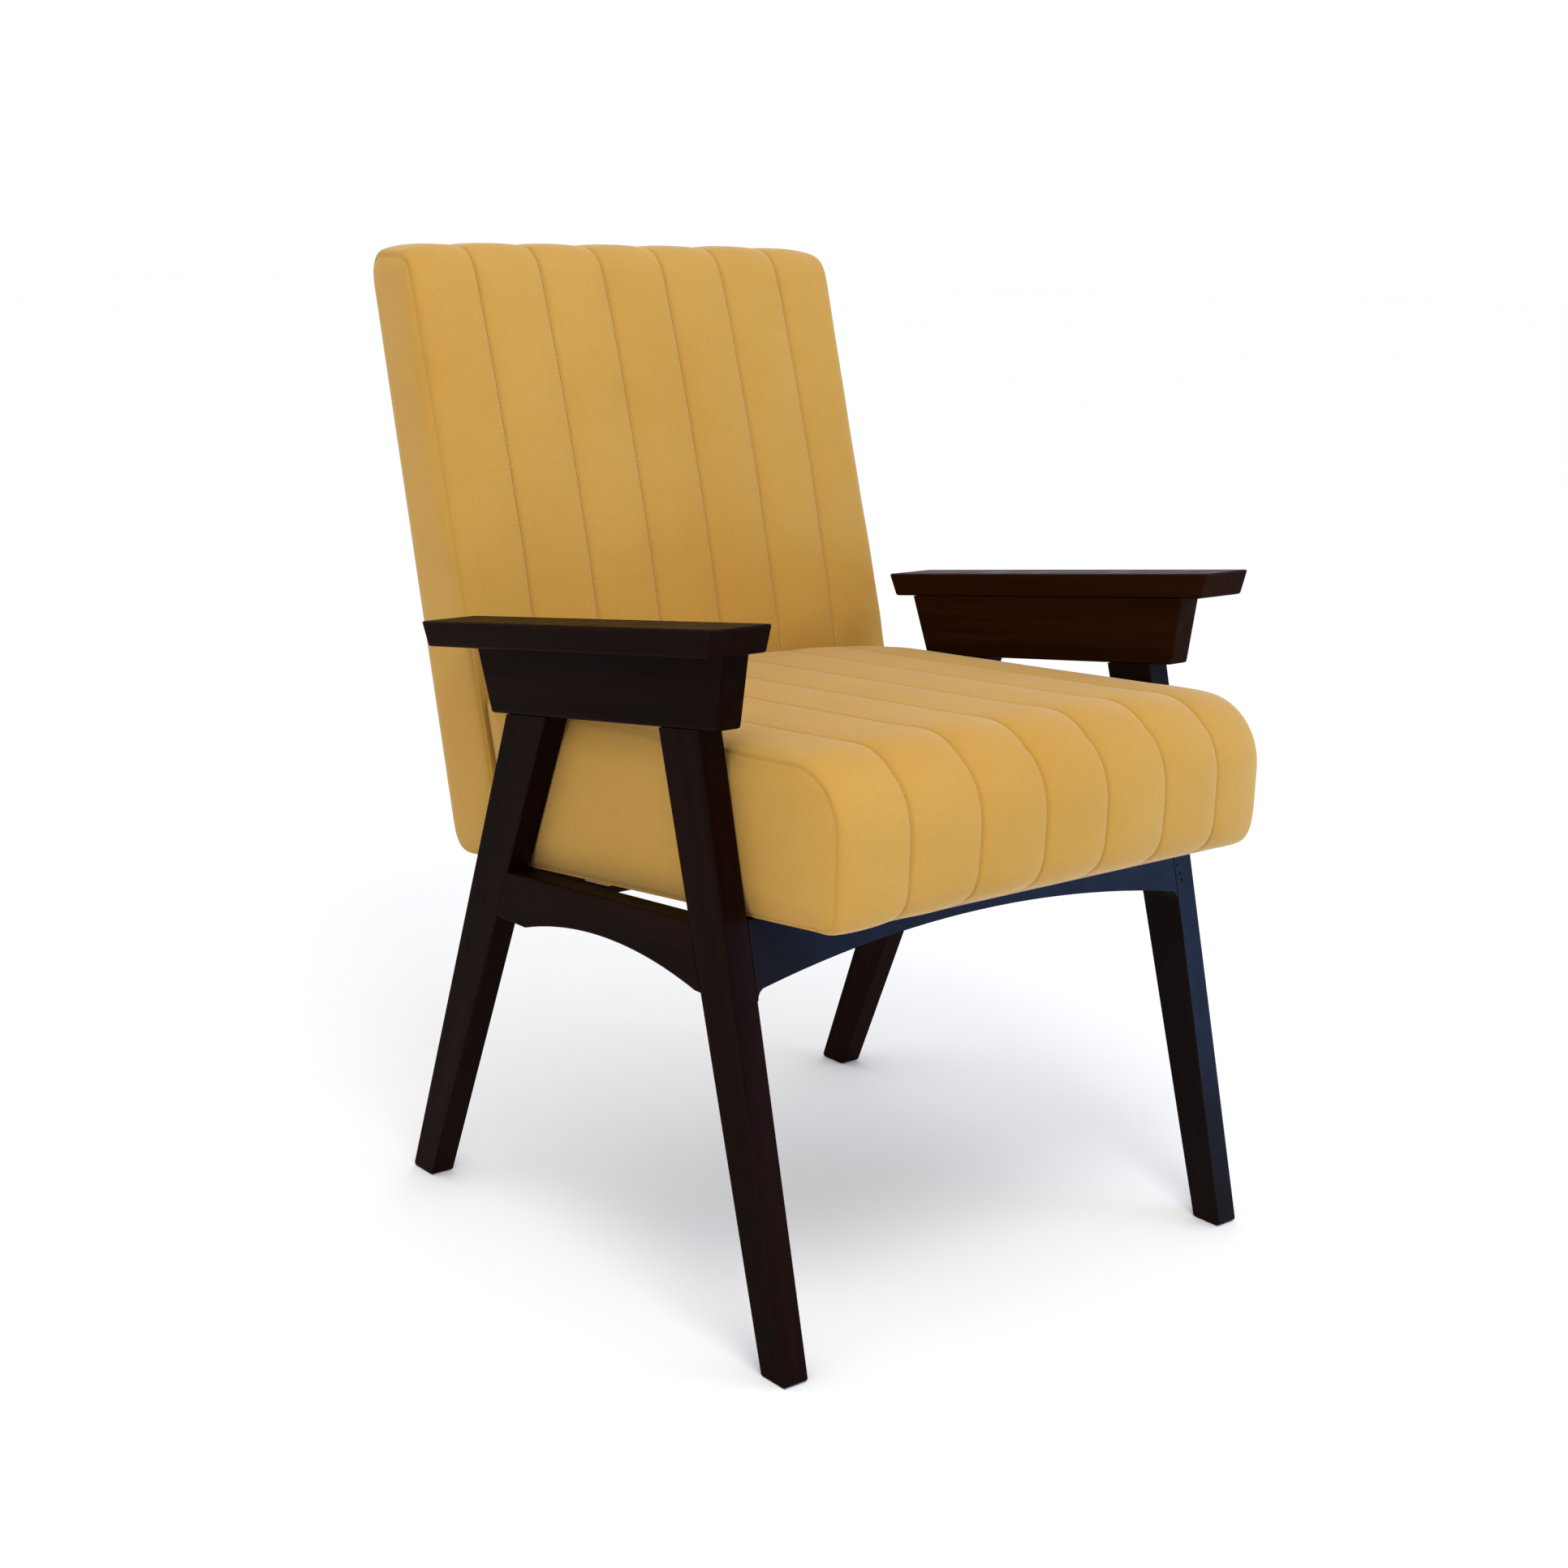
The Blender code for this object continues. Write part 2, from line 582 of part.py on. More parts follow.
def straps(seat_panel, back_panel, back_pad, rear_rail_board, panel_front):
    """Two bent steel straps screwed under the seat panel and up the back panel."""
    run_top = seat_underside.shifted(-GAP)
    run_bottom = run_top.shifted(-STRAP)
    rise_rear = panel_front.shifted(GAP)
    rise_front = rise_rear.shifted(STRAP)
    bend = rise_rear.meet(run_bottom)
    end = rise_rear.at_z(bend.y + STRAP_RISE)
    outline = [run_bottom.at_y(STRAP_START), bend, end,
               end + rise_rear.normal * STRAP, rise_front.meet(run_top),
               run_top.at_y(STRAP_START)]
    room = STRAP + SCREW_HEAD_HEIGHT + 3 * GAP
    for side, sign in SIDES.items():
        low = sign * STRAP_X - STRAP_WIDTH / 2
        high = low + STRAP_WIDTH
        strap = board(f"back_strap_{side}", outline, low, high, joints=[run_top, rise_rear],
                      look=STEEL)
        slot_line = rise_rear.shifted(-GAP)
        foot = slot_line.at_z(bend.y - STRAP_SLOT_ENDS[0])
        head = slot_line.at_z(end.y + STRAP_SLOT_ENDS[1])
        slot = board(f"strap_slot_{side}", [foot, head, head + slot_line.normal * room,
                                            foot + slot_line.normal * room],
                     low - GAP, high + GAP, look=None, joints=[slot_line])
        cut(back_pad, slot)
        notch_low = run_bottom.shifted(-GAP)
        notch = board(f"strap_notch_{side}", [
            notch_low.at_y(STRAP_START), notch_low.at_y(bend.x),
            notch_low.at_y(bend.x) + notch_low.normal * PASS,
            notch_low.at_y(STRAP_START) + notch_low.normal * PASS],
            low - GAP, high + GAP, look=None, joints=[notch_low])
        cut(rear_rail_board, notch)
        x = sign * STRAP_X
        screw(f"strap_screw_seat_{side}", (x, *run_bottom.at_y(STRAP_START + STRAP_SEAT_SCREW)),
              (0, *run_bottom.normal), STRAP_SCREW_LENGTH, (strap, seat_panel))
        for index, height in enumerate(STRAP_SCREW_HEIGHTS, start=1):
            point = rise_front.at_z(bend.y + height)
            screw(f"strap_screw_back_{side}_{index}", (x, *point), (0, *-rise_rear.normal),
                  STRAP_SCREW_LENGTH, (strap, back_panel))


def dust_cover():
    """A thin cloth with clipped corners, stretched under the seat panel."""
    slab("dust_cover", CLOTH_HALF, seat_underside, *CLOTH_ENDS, -GAP - CLOTH, -GAP,
         BLACK_CLOTH, corner=CLOTH_CORNER)


def build():
    clear_scene()
    legs = {side: side_frame(side, sign) for side, sign in SIDES.items()}
    rear_rail_board = cross_rails(legs)[1]
    seat_panel = seat()
    rail_blocks(seat_panel)
    back_panel, back_pad, panel_front = back()
    straps(seat_panel, back_panel, back_pad, rear_rail_board, panel_front)
    dust_cover()


build()
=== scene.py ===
"""Wooden armchair with a channelled velvet seat and back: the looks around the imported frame.

The wooden side frames, rails, plywood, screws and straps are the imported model's own pieces
and only get their finishes here.  The seat, the back and the rear cover are made again as
sewn, padded pieces with their stitching.  Metres, +Z up, the sitter faces -Y.
"""

from __future__ import annotations

import json
import logging
import math
from dataclasses import dataclass, field
from enum import Enum
from typing import Callable, Sequence, Union

import bmesh
import bpy
import numpy as np
from mathutils import Matrix, Vector, noise

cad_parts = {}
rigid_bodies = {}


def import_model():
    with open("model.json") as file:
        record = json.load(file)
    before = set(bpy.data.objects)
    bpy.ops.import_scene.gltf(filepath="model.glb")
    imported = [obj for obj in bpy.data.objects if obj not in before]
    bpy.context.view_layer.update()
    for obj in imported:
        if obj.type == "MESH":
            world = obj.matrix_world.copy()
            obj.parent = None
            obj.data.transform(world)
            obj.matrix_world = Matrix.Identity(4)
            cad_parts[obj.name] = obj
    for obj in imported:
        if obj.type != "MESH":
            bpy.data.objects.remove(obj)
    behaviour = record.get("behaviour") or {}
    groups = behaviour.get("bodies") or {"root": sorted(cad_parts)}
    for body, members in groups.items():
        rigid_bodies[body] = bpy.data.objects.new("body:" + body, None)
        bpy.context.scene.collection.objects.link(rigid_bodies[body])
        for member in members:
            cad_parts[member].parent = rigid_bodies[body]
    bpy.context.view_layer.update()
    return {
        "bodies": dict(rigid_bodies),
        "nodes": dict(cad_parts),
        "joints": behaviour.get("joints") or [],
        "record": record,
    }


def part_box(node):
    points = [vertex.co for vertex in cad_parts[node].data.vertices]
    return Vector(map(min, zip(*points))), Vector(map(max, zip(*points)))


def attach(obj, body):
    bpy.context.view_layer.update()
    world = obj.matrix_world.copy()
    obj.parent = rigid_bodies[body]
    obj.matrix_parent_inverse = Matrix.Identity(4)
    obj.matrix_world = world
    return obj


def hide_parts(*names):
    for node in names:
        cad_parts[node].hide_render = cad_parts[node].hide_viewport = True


LOG = logging.getLogger("armchair")
LOG_FORMAT = "%(relativeCreated)6d ms %(name)s: %(message)s"
MILLIMETRE = 0.001
TINY = 1e-6                        # less than this from a side or an end counts as on it
NUDGE = 1e-7                       # puts a point that lies on a seam in the channel after it
NEVER_ZERO = 1e-9                  # the least that a length is divided by
Colour = tuple[float, float, float]


# ---------------------------------------------------------------------------
# Shader maths
# ---------------------------------------------------------------------------

class Wire:
    """An output socket; Python operators on it add Math nodes to its tree."""

    def __init__(self, bench: Bench, socket: bpy.types.NodeSocket) -> None:
        """Wraps one socket.

        Args:
            bench: the node bench that the socket belongs to.
            socket: the output socket.
        """
        self.bench = bench
        self.socket = socket

    def _math(self, operation: str, first: Feed, second: Feed = 0.0) -> Wire:
        """One Math node.

        Args:
            operation: the node's operation.
            first: its first value.
            second: its second value.

        Returns:
            The result as a wire.
        """
        return self.bench.add("ShaderNodeMath", {"operation": operation}, {0: first, 1: second})

    def __add__(self, other: Feed) -> Wire:
        """self + other."""
        return self._math("ADD", self, other)

    def __sub__(self, other: Feed) -> Wire:
        """self - other."""
        return self._math("SUBTRACT", self, other)

    def __rsub__(self, other: Feed) -> Wire:
        """other - self."""
        return self._math("SUBTRACT", other, self)

    def __mul__(self, other: Feed) -> Wire:
        """self * other."""
        return self._math("MULTIPLY", self, other)

    __radd__ = __add__
    __rmul__ = __mul__

    def spread(self, low: float, high: float) -> Wire:
        """The value taken from one range to 0 to 1, and kept inside it.

        Args:
            low: the value that becomes 0.
            high: the value that becomes 1.

        Returns:
            The result as a wire.
        """
        return self.bench.add("ShaderNodeMapRange", {"clamp": True}, {0: self, 1: low, 2: high})


Feed = Union[Wire, float, Sequence[float]]


class Bench:
    """The node tree of one material, with one way to add a node."""

    def __init__(self, name: str) -> None:
        """Starts a material.

        Args:
            name: the material's name.
        """
        self.material = bpy.data.materials.new(name)
        self.material.use_nodes = True
        self.tree = self.material.node_tree
        self.surface = self.tree.nodes["Principled BSDF"]

    def feed(self, socket: bpy.types.NodeSocket, value: Feed) -> None:
        """Gives a socket a link or a plain value.

        Args:
            socket: the input socket.
            value: a wire, a number or a vector.
        """
        if isinstance(value, Wire):
            self.tree.links.new(value.socket, socket)
        else:
            socket.default_value = value

    def add(self, kind: str, settings: dict | None = None, sockets: dict | None = None,
            output: int = 0) -> Wire:
        """Adds a node.

        Args:
            kind: the node's type.
            settings: its properties, which are set first.
            sockets: the values or wires of its inputs, by name or number.
            output: which output to return.

        Returns:
            The output as a wire.
        """
        node = self.tree.nodes.new(kind)
        for key, value in (settings or {}).items():
            setattr(node, key, value)
        for key, value in (sockets or {}).items():
            self.feed(node.inputs[key], value)
        return Wire(self, node.outputs[output])

    def place(self, turn: float = 0.0, stretch: Sequence[float] = (1.0, 1.0, 1.0)) -> Wire:
        """Object coordinates, turned about X and then stretched.

        Args:
            turn: the turn about X in degrees.
            stretch: the scale along the three axes after the turn.

        Returns:
            The coordinates as a wire.
        """
        raw = self.add("ShaderNodeTexCoord", {}, {}, 3)
        turned = self.add("ShaderNodeMapping", {"vector_type": "POINT"},
                          {"Vector": raw, "Rotation": (math.radians(turn), 0.0, 0.0)})
        return self.add("ShaderNodeVectorMath", {"operation": "MULTIPLY"},
                        {0: turned, 1: tuple(stretch)})

    def cloud(self, place: Wire, scale: float, detail: float = 2.0, rough: float = 0.5) -> Wire:
        """Smooth noise.

        Args:
            place: the coordinates.
            scale: how many spots there are in a metre.
            detail: octaves of detail.
            rough: how strong the finer octaves are.

        Returns:
            The noise, about 0.5 in the mean.
        """
        return self.add("ShaderNodeTexNoise", {"noise_dimensions": "3D"},
                        {"Vector": place, "Scale": scale, "Detail": detail, "Roughness": rough})

    def mix(self, share: Feed, first: Feed, second: Feed) -> Wire:
        """Two colours mixed.

        Args:
            share: how much of the second colour.
            first: the first colour.
            second: the second colour.

        Returns:
            The colour as a wire.
        """
        colours = [(*c, 1.0) if isinstance(c, tuple) else c for c in (first, second)]
        return self.add("ShaderNodeMix", {"data_type": "RGBA"},
                        {0: share, 6: colours[0], 7: colours[1]}, 2)

    def bump(self, height: Wire, distance: float, strength: float = 1.0,
             under: Wire | None = None) -> Wire:
        """A bumped normal.

        Args:
            height: the height, from 0 to 1.
            distance: metres that 1 stands for.
            strength: the share of it that is used.
            under: a normal that this one lies on.

        Returns:
            The normal as a wire.
        """
        sockets = {"Height": height, "Distance": distance, "Strength": strength}
        if under is not None:
            sockets["Normal"] = under
        return self.add("ShaderNodeBump", {}, sockets)

    def dress(self, **sockets: Feed) -> bpy.types.Material:
        """Sets the surface's sockets.

        Args:
            sockets: values or wires, with underscores for the spaces in a socket's name.

        Returns:
            The finished material.
        """
        for key, value in sockets.items():
            self.feed(self.surface.inputs[key.replace("_", " ")], value)
        return self.material


# ---------------------------------------------------------------------------
# Finishes
# ---------------------------------------------------------------------------

class Slot(Enum):
    """The record's material slots."""

    WOOD = "lacquered_wood"
    VELVET = "velvet"
    PLYWOOD = "plywood"
    BEECH = "beech"
    STEEL = "steel"
    CLOTH = "dust_cloth"


@dataclass(frozen=True)
class Lacquer:
    """Dark stained hardwood under satin lacquer, with the grain along each board."""

    heart: Colour
    light: Colour
    worn: Colour = (0.0420, 0.0125, 0.0042)    # where the edges are rubbed
    worn_width: float = 0.0016
    roughness: float = 0.34
    gloss: float = 0.012           # how strongly the lacquer mirrors
    stretch: float = 0.035         # the grain's crossways size as a share of its length
    band_scale: float = 46.0       # broad bands in a metre
    fibre_scale: float = 420.0     # fibres in a metre
    pore_scale: float = 950.0      # pores in a metre
    wave_height: float = 0.0006    # the lacquer's slow waves
    fibre_height: float = 0.00006

    def material(self, name: str, turn: float, across: bool = False) -> bpy.types.Material:
        """The finish for one direction of grain.

        Args:
            name: the material's name.
            turn: degrees about X that bring the grain onto Y.
            across: whether the grain runs along X instead.

        Returns:
            The material.
        """
        bench = Bench(name)
        along, over = (self.stretch, 1.0) if across else (1.0, self.stretch)
        place = bench.place(turn, (along, over, 1.0))
        sway = bench.cloud(place, 9.0, 2.0)
        bands = bench.cloud(place, self.band_scale, 3.0, 0.55)
        fibres = bench.cloud(place, self.fibre_scale, 3.0, 0.6)
        pores = bench.cloud(bench.place(turn, (along * 2.2, over * 2.2, 1.0)),
                            self.pore_scale, 1.0)
        figure = (sway * 0.45 + bands * 0.85).spread(0.42, 0.86)
        stain = bench.mix(figure, self.heart, self.light)
        grained = bench.mix(fibres.spread(0.35, 0.75) * 0.45, stain, self.heart)
        edge = bench.add("ShaderNodeBevel", {"samples": 4}, {"Radius": self.worn_width})
        facing = bench.add("ShaderNodeVectorMath", {"operation": "DOT_PRODUCT"},
                           {0: edge, 1: bench.add("ShaderNodeNewGeometry", {}, {}, 1)}, 1)
        rubbed = (1.0 - facing).spread(0.02, 0.20) * bench.cloud(
            bench.place(), 60.0, 3.0).spread(0.45, 0.72) * 0.55
        colour = bench.mix(rubbed, grained, self.worn)
        dips = pores.spread(0.62, 0.74)
        smooth = bench.bump(fibres + dips * -0.8, self.fibre_height, 0.6)
        waves = bench.bump(bench.cloud(bench.place(), 26.0, 1.0), self.wave_height, 0.25,
                           smooth)
        dull = (self.roughness + bench.cloud(bench.place(), 34.0, 3.0).spread(0.3, 0.7) * 0.10
                + dips * 0.12 + rubbed * 0.15)
        return bench.dress(Base_Color=colour, Roughness=dull, Normal=waves,
                           IOR=1.45, Specular_IOR_Level=self.gloss,
                           Coat_Weight=self.gloss * 1.2, Coat_Roughness=0.14, Coat_IOR=1.40)


class LacquerLook(Enum):
    """The boards' lacquer finishes: one even stain and two copies whose stain carries painted
    light.
    """

    EVEN = Lacquer(heart=(0.0034, 0.0012, 0.0008), light=(0.0135, 0.0040, 0.0018))
    # painted warm bounce light: a redder, lighter stain for the left arm, where light bounces
    # from the seat
    RED = Lacquer(heart=(0.0072, 0.0020, 0.0006), light=(0.0270, 0.0074, 0.0018))
    # painted cool shade: a darker, less red stain for the front rail and the left front leg; the
    # higher gloss is real
    GLOSSY = Lacquer(heart=(0.0020, 0.0012, 0.0009), light=(0.0070, 0.0028, 0.0018),
                     gloss=0.031)


@dataclass(frozen=True)
class Velvet:
    """Mustard velvet with a short pile: soft mottling, fine grain and a pale sheen."""

    deep: Colour = (0.458, 0.250, 0.044)
    pale: Colour = (0.502, 0.292, 0.065)
    shade: Colour = (0.335, 0.156, 0.022)
    pile_scale: float = 1300.0     # tufts in a metre
    weave_scale: float = 900.0     # threads of the backing in a metre
    fluff_scale: float = 560.0     # spots of raised pile in a metre
    pile_height: float = 0.00035
    sheen: float = 0.38

    def material(self, name: str) -> bpy.types.Material:
        """The finish.

        Args:
            name: the material's name.

        Returns:
            The material.
        """
        bench = Bench(name)
        place = bench.place()
        brushed = bench.cloud(place, 5.0, 2.0, 0.5)
        streaks = bench.cloud(bench.place(0.0, (0.75, 1.0, 1.0)), 38.0, 3.0, 0.6)
        pile = bench.cloud(place, self.pile_scale, 2.0, 0.7)
        weave = bench.cloud(bench.place(0.0, (0.25, 1.0, 1.0)), self.weave_scale, 1.0)
        nap = (brushed * 0.78 + streaks * 0.22).spread(0.32, 0.68)
        ground = bench.mix(nap, self.deep, self.pale)
        fluff = bench.cloud(place, self.fluff_scale, 1.0, 0.6).spread(0.34, 0.66)
        grained = bench.mix(pile.spread(0.30, 0.72) * 0.22 + weave.spread(0.4, 0.7) * 0.08
                            + fluff * 0.12, ground, self.shade)
        tufts = bench.bump(pile * 0.7 + weave * 0.3, self.pile_height, 0.55)
        soft = bench.bump(streaks, 0.0006, 0.05, tufts)
        return bench.dress(Base_Color=grained, Normal=soft,
                           Roughness=0.86 + brushed.spread(0.3, 0.7) * 0.08,
                           Specular_IOR_Level=0.12, Sheen_Weight=self.sheen,
                           Sheen_Roughness=0.40,
                           Sheen_Tint=(1.0, 0.90, 0.66, 1.0))


@dataclass(frozen=True)
class Thread:
    """Twisted polyester sewing thread, a little darker than the velvet."""

    light: Colour = (0.330, 0.180, 0.050)
    dark: Colour = (0.130, 0.062, 0.018)
    twist_scale: float = 2600.0    # strands in a metre

    def material(self, name: str) -> bpy.types.Material:
        """The finish.

        Args:
            name: the material's name.

        Returns:
            The material.
        """
        bench = Bench(name)
        twist = bench.cloud(bench.place(), self.twist_scale, 1.0)
        colour = bench.mix(twist.spread(0.35, 0.65), self.dark, self.light)
        return bench.dress(Base_Color=colour, Roughness=0.45 + twist * 0.2,
                           Normal=bench.bump(twist, 0.0002, 0.6), Sheen_Weight=0.2,
                           Specular_IOR_Level=0.4)


BACK_THREAD = Thread(light=(0.235, 0.120, 0.034), dark=(0.080, 0.038, 0.012))


@dataclass(frozen=True)
class Ply:
    """Plywood: pale faces with open grain, and layered edges."""

    pale: Colour = (0.560, 0.370, 0.200)
    dark: Colour = (0.360, 0.205, 0.095)
    layers: float = 420.0          # half waves of pale and dark in a metre
    grain_scale: float = 90.0      # bands of grain in a metre
    fleck_scale: float = 700.0     # flecks in a metre

    def material(self, name: str, turn: float) -> bpy.types.Material:
        """The finish.

        Args:
            name: the material's name.
            turn: degrees about X that lay the layers flat.

        Returns:
            The material.
        """
        bench = Bench(name)
        place = bench.place(turn, (1.0, 0.06, 1.0))
        grain = bench.cloud(place, self.grain_scale, 4.0, 0.6)
        flecks = bench.cloud(place, self.fleck_scale, 2.0)
        height = bench.add("ShaderNodeSeparateXYZ", {}, {0: bench.place(turn)}, 2)
        layer = bench.add("ShaderNodeMath", {"operation": "SINE"},
                          {0: height * (self.layers * math.pi)})
        share = grain.spread(0.3, 0.7) * 0.7 + flecks.spread(0.55, 0.75) * 0.3
        colour = bench.mix(layer.spread(-0.2, 0.4) * 0.35, bench.mix(share, self.pale, self.dark),
                           self.dark)
        return bench.dress(Base_Color=colour, Roughness=0.62 + grain * 0.15,
                           Normal=bench.bump(grain + flecks * -0.5, 0.0002, 0.5))


@dataclass(frozen=True)
class Beech:
    """Bare beech: pinkish tan with short dark flecks."""

    pale: Colour = (0.590, 0.365, 0.215)
    dark: Colour = (0.330, 0.165, 0.085)
    fleck_scale: float = 520.0     # flecks in a metre
    grain_scale: float = 160.0     # bands of grain in a metre

    def material(self, name: str) -> bpy.types.Material:
        """The finish.

        Args:
            name: the material's name.

        Returns:
            The material.
        """
        bench = Bench(name)
        flecks = bench.cloud(bench.place(0.0, (0.25, 1.0, 1.0)), self.fleck_scale, 2.0)
        grain = bench.cloud(bench.place(0.0, (0.05, 1.0, 1.0)), self.grain_scale, 3.0)
        colour = bench.mix(grain.spread(0.35, 0.7) * 0.5 + flecks.spread(0.58, 0.7) * 0.4,
                           self.pale, self.dark)
        return bench.dress(Base_Color=colour, Roughness=0.55 + flecks * 0.15,
                           Normal=bench.bump(grain, 0.0001, 0.5))


@dataclass(frozen=True)
class Steel:
    """Bright zinc-plated steel with rolling marks and a few dull patches."""

    bright: Colour = (0.520, 0.520, 0.500)
    dull: Colour = (0.300, 0.290, 0.270)
    mark_scale: float = 1400.0     # rolling marks in a metre
    patch_scale: float = 90.0      # dull patches in a metre

    def material(self, name: str) -> bpy.types.Material:
        """The finish.

        Args:
            name: the material's name.

        Returns:
            The material.
        """
        bench = Bench(name)
        marks = bench.cloud(bench.place(0.0, (1.0, 0.05, 0.05)), self.mark_scale, 2.0)
        patches = bench.cloud(bench.place(), self.patch_scale, 4.0, 0.6).spread(0.35, 0.7)
        return bench.dress(Base_Color=bench.mix(patches, self.bright, self.dull),
                           Metallic=1.0 - patches * 0.15,
                           Roughness=0.30 + patches * 0.22 + marks * 0.10,
                           Normal=bench.bump(marks, 0.00004, 0.5))


@dataclass(frozen=True)
class Filler:
    """Dark wax filler, duller than the lacquer round it."""

    dark: Colour = (0.0009, 0.0007, 0.0006)
    pale: Colour = (0.0032, 0.0022, 0.0016)
    grain_scale: float = 1500.0    # grains in a metre

    def material(self, name: str) -> bpy.types.Material:
        """The finish.

        Args:
            name: the material's name.

        Returns:
            The material.
        """
        bench = Bench(name)
        grain = bench.cloud(bench.place(), self.grain_scale, 2.0)
        return bench.dress(Base_Color=bench.mix(grain, self.dark, self.pale),
                           Roughness=0.6 + grain * 0.2, Specular_IOR_Level=0.0,
                           Normal=bench.bump(grain, 0.0001, 0.5))


@dataclass(frozen=True)
class DustCloth:
    """Thin black non-woven cloth with a dimpled, bonded face."""

    fibre: Colour = (0.020, 0.020, 0.022)
    haze: Colour = (0.055, 0.055, 0.058)
    fibre_scale: float = 900.0     # fibres in a metre
    dimple_scale: float = 520.0    # bonding dimples in a metre

    def material(self, name: str) -> bpy.types.Material:
        """The finish.

        Args:
            name: the material's name.

        Returns:
            The material.
        """
        bench = Bench(name)
        fibres = bench.cloud(bench.place(), self.fibre_scale, 4.0, 0.7)
        dimples = bench.add("ShaderNodeTexVoronoi", {"feature": "F1"},
                            {"Vector": bench.place(), "Scale": self.dimple_scale})
        colour = bench.mix(fibres.spread(0.35, 0.7), self.fibre, self.haze)
        return bench.dress(Base_Color=colour, Roughness=0.80 + fibres * 0.1,
                           Normal=bench.bump(dimples + fibres * 0.4, 0.0003, 0.6),
                           Sheen_Weight=0.15)


# ---------------------------------------------------------------------------
# The wooden frame and the hidden parts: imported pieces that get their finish
# ---------------------------------------------------------------------------

class Grain(Enum):
    """Which boards share a direction of grain: degrees about X that bring it onto Y."""

    ARM = 7.18
    FRONT_LEG = -75.0
    REAR_LEG = 69.1
    SIDE_RAIL = 4.5
    CROSS_RAIL = 0.0


@dataclass
class Woodwork:
    """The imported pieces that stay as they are, each with its finish."""

    nodes: dict[str, bpy.types.Object]
    # the left arm's stain holds painted warm bounce light, the front rail's and the left front
    # leg's painted cool shade
    lacquer_looks: dict[str, LacquerLook] = field(
        default_factory=lambda: {"front_rail": LacquerLook.GLOSSY, "front_leg_left": LacquerLook.GLOSSY,
                                 "arm_apron_left": LacquerLook.RED, "armrest_left": LacquerLook.RED})
    panel_turns: dict[str, float] = field(
        default_factory=lambda: {"seat_panel": 5.51, "back_panel": 75.14})

    def grain_of(self, name: str) -> Grain:
        """The direction of a board's grain.

        Args:
            name: the board's node.

        Returns:
            Its grain.
        """
        starts = {"arm": Grain.ARM, "front_leg": Grain.FRONT_LEG, "rear_leg": Grain.REAR_LEG,
                  "side_rail": Grain.SIDE_RAIL}
        return next((g for start, g in starts.items() if name.startswith(start)),
                    Grain.CROSS_RAIL)

    def dress(self) -> int:
        """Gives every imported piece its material.

        Returns:
            The number of pieces dressed.
        """
        woods: dict[tuple[LacquerLook, Grain], bpy.types.Material] = {}
        plain = {Slot.BEECH: Beech().material("beech_finish"),
                 Slot.STEEL: Steel().material("steel_finish"),
                 Slot.CLOTH: DustCloth().material("dust_cloth_finish")}
        for name, node in self.nodes.items():
            for place in node.material_slots:
                slot = Slot(place.material.name.split(".")[0])
                if slot is Slot.WOOD:
                    lacquer_look, grain = self.lacquer_looks.get(name, LacquerLook.EVEN), self.grain_of(name)
                    if (lacquer_look, grain) not in woods:
                        woods[lacquer_look, grain] = lacquer_look.value.material(
                            f"lacquer_{lacquer_look.name}_{grain.name}".lower(), grain.value,
                            grain is Grain.CROSS_RAIL)
                    place.material = woods[lacquer_look, grain]
                elif slot is Slot.PLYWOOD:
                    place.material = Ply().material(f"{name}_ply", self.panel_turns[name])
                elif slot in plain:
                    place.material = plain[slot]
        return len(self.nodes)


# ---------------------------------------------------------------------------
# Side-view edges and mesh helpers
# ---------------------------------------------------------------------------

@dataclass(frozen=True)
class Edge:
    """A straight edge in the side view, level (height at y = 0) or upright (y on the floor)."""

    at: float
    degrees: float

    @property
    def rise(self) -> float:
        """The tangent of the slope or lean."""
        return math.tan(math.radians(self.degrees))

    @property
    def reach(self) -> float:
        """How far the edge moves along its axis when it is shifted by one."""
        return 1.0 / math.cos(math.radians(self.degrees))

    @property
    def back(self) -> Vector:
        """The way back along a level edge, or straight out behind an upright one."""
        turn = math.radians(self.degrees)
        return Vector((0.0, math.cos(turn), -math.sin(turn)))

    @property
    def up(self) -> Vector:
        """The way up from a level edge, or up along an upright one."""
        turn = math.radians(self.degrees)
        return Vector((0.0, math.sin(turn), math.cos(turn)))


def crossing(level: Edge, upright: Edge, lift: np.ndarray, push: np.ndarray) -> np.ndarray:
    """Where a level edge and an upright one cross.

    Args:
        level: the level edge, which rises forwards.
        upright: the upright edge, which leans backwards.
        lift: how far the level edge is shifted up.
        push: how far the upright edge is shifted back.

    Returns:
        Rows of y and z.
    """
    start = level.at + lift * level.reach
    foot = upright.at + push * upright.reach
    z = (start - foot * level.rise) / (1.0 + upright.rise * level.rise)
    return np.stack((foot + z * upright.rise, z), axis=1)


def smooth_step(value: np.ndarray, low: float, high: float) -> np.ndarray:
    """A soft step from 0 at low to 1 at high.

    Args:
        value: the values.
        low: where it starts.
        high: where it ends.

    Returns:
        The steps.
    """
    share = np.clip((value - low) / (high - low), 0.0, 1.0)
    return share * share * (3.0 - 2.0 * share)


def drift(points: np.ndarray, scale: float, seed: float) -> np.ndarray:
    """Smooth noise at points.

    Args:
        points: rows of x, y and z.
        scale: how many waves there are in a metre.
        seed: moves the pattern.

    Returns:
        Values from -1 to 1.
    """
    shift = Vector((seed, seed * 1.7, seed * 2.3))
    return np.array([noise.noise(Vector(p) * scale + shift) for p in points])


def read_points(mesh: bpy.types.Mesh) -> np.ndarray:
    """A mesh's vertices as rows.

    Args:
        mesh: the mesh.

    Returns:
        Rows of x, y and z.
    """
    flat = np.empty(len(mesh.vertices) * 3)
    mesh.vertices.foreach_get("co", flat)
    return flat.reshape(-1, 3)


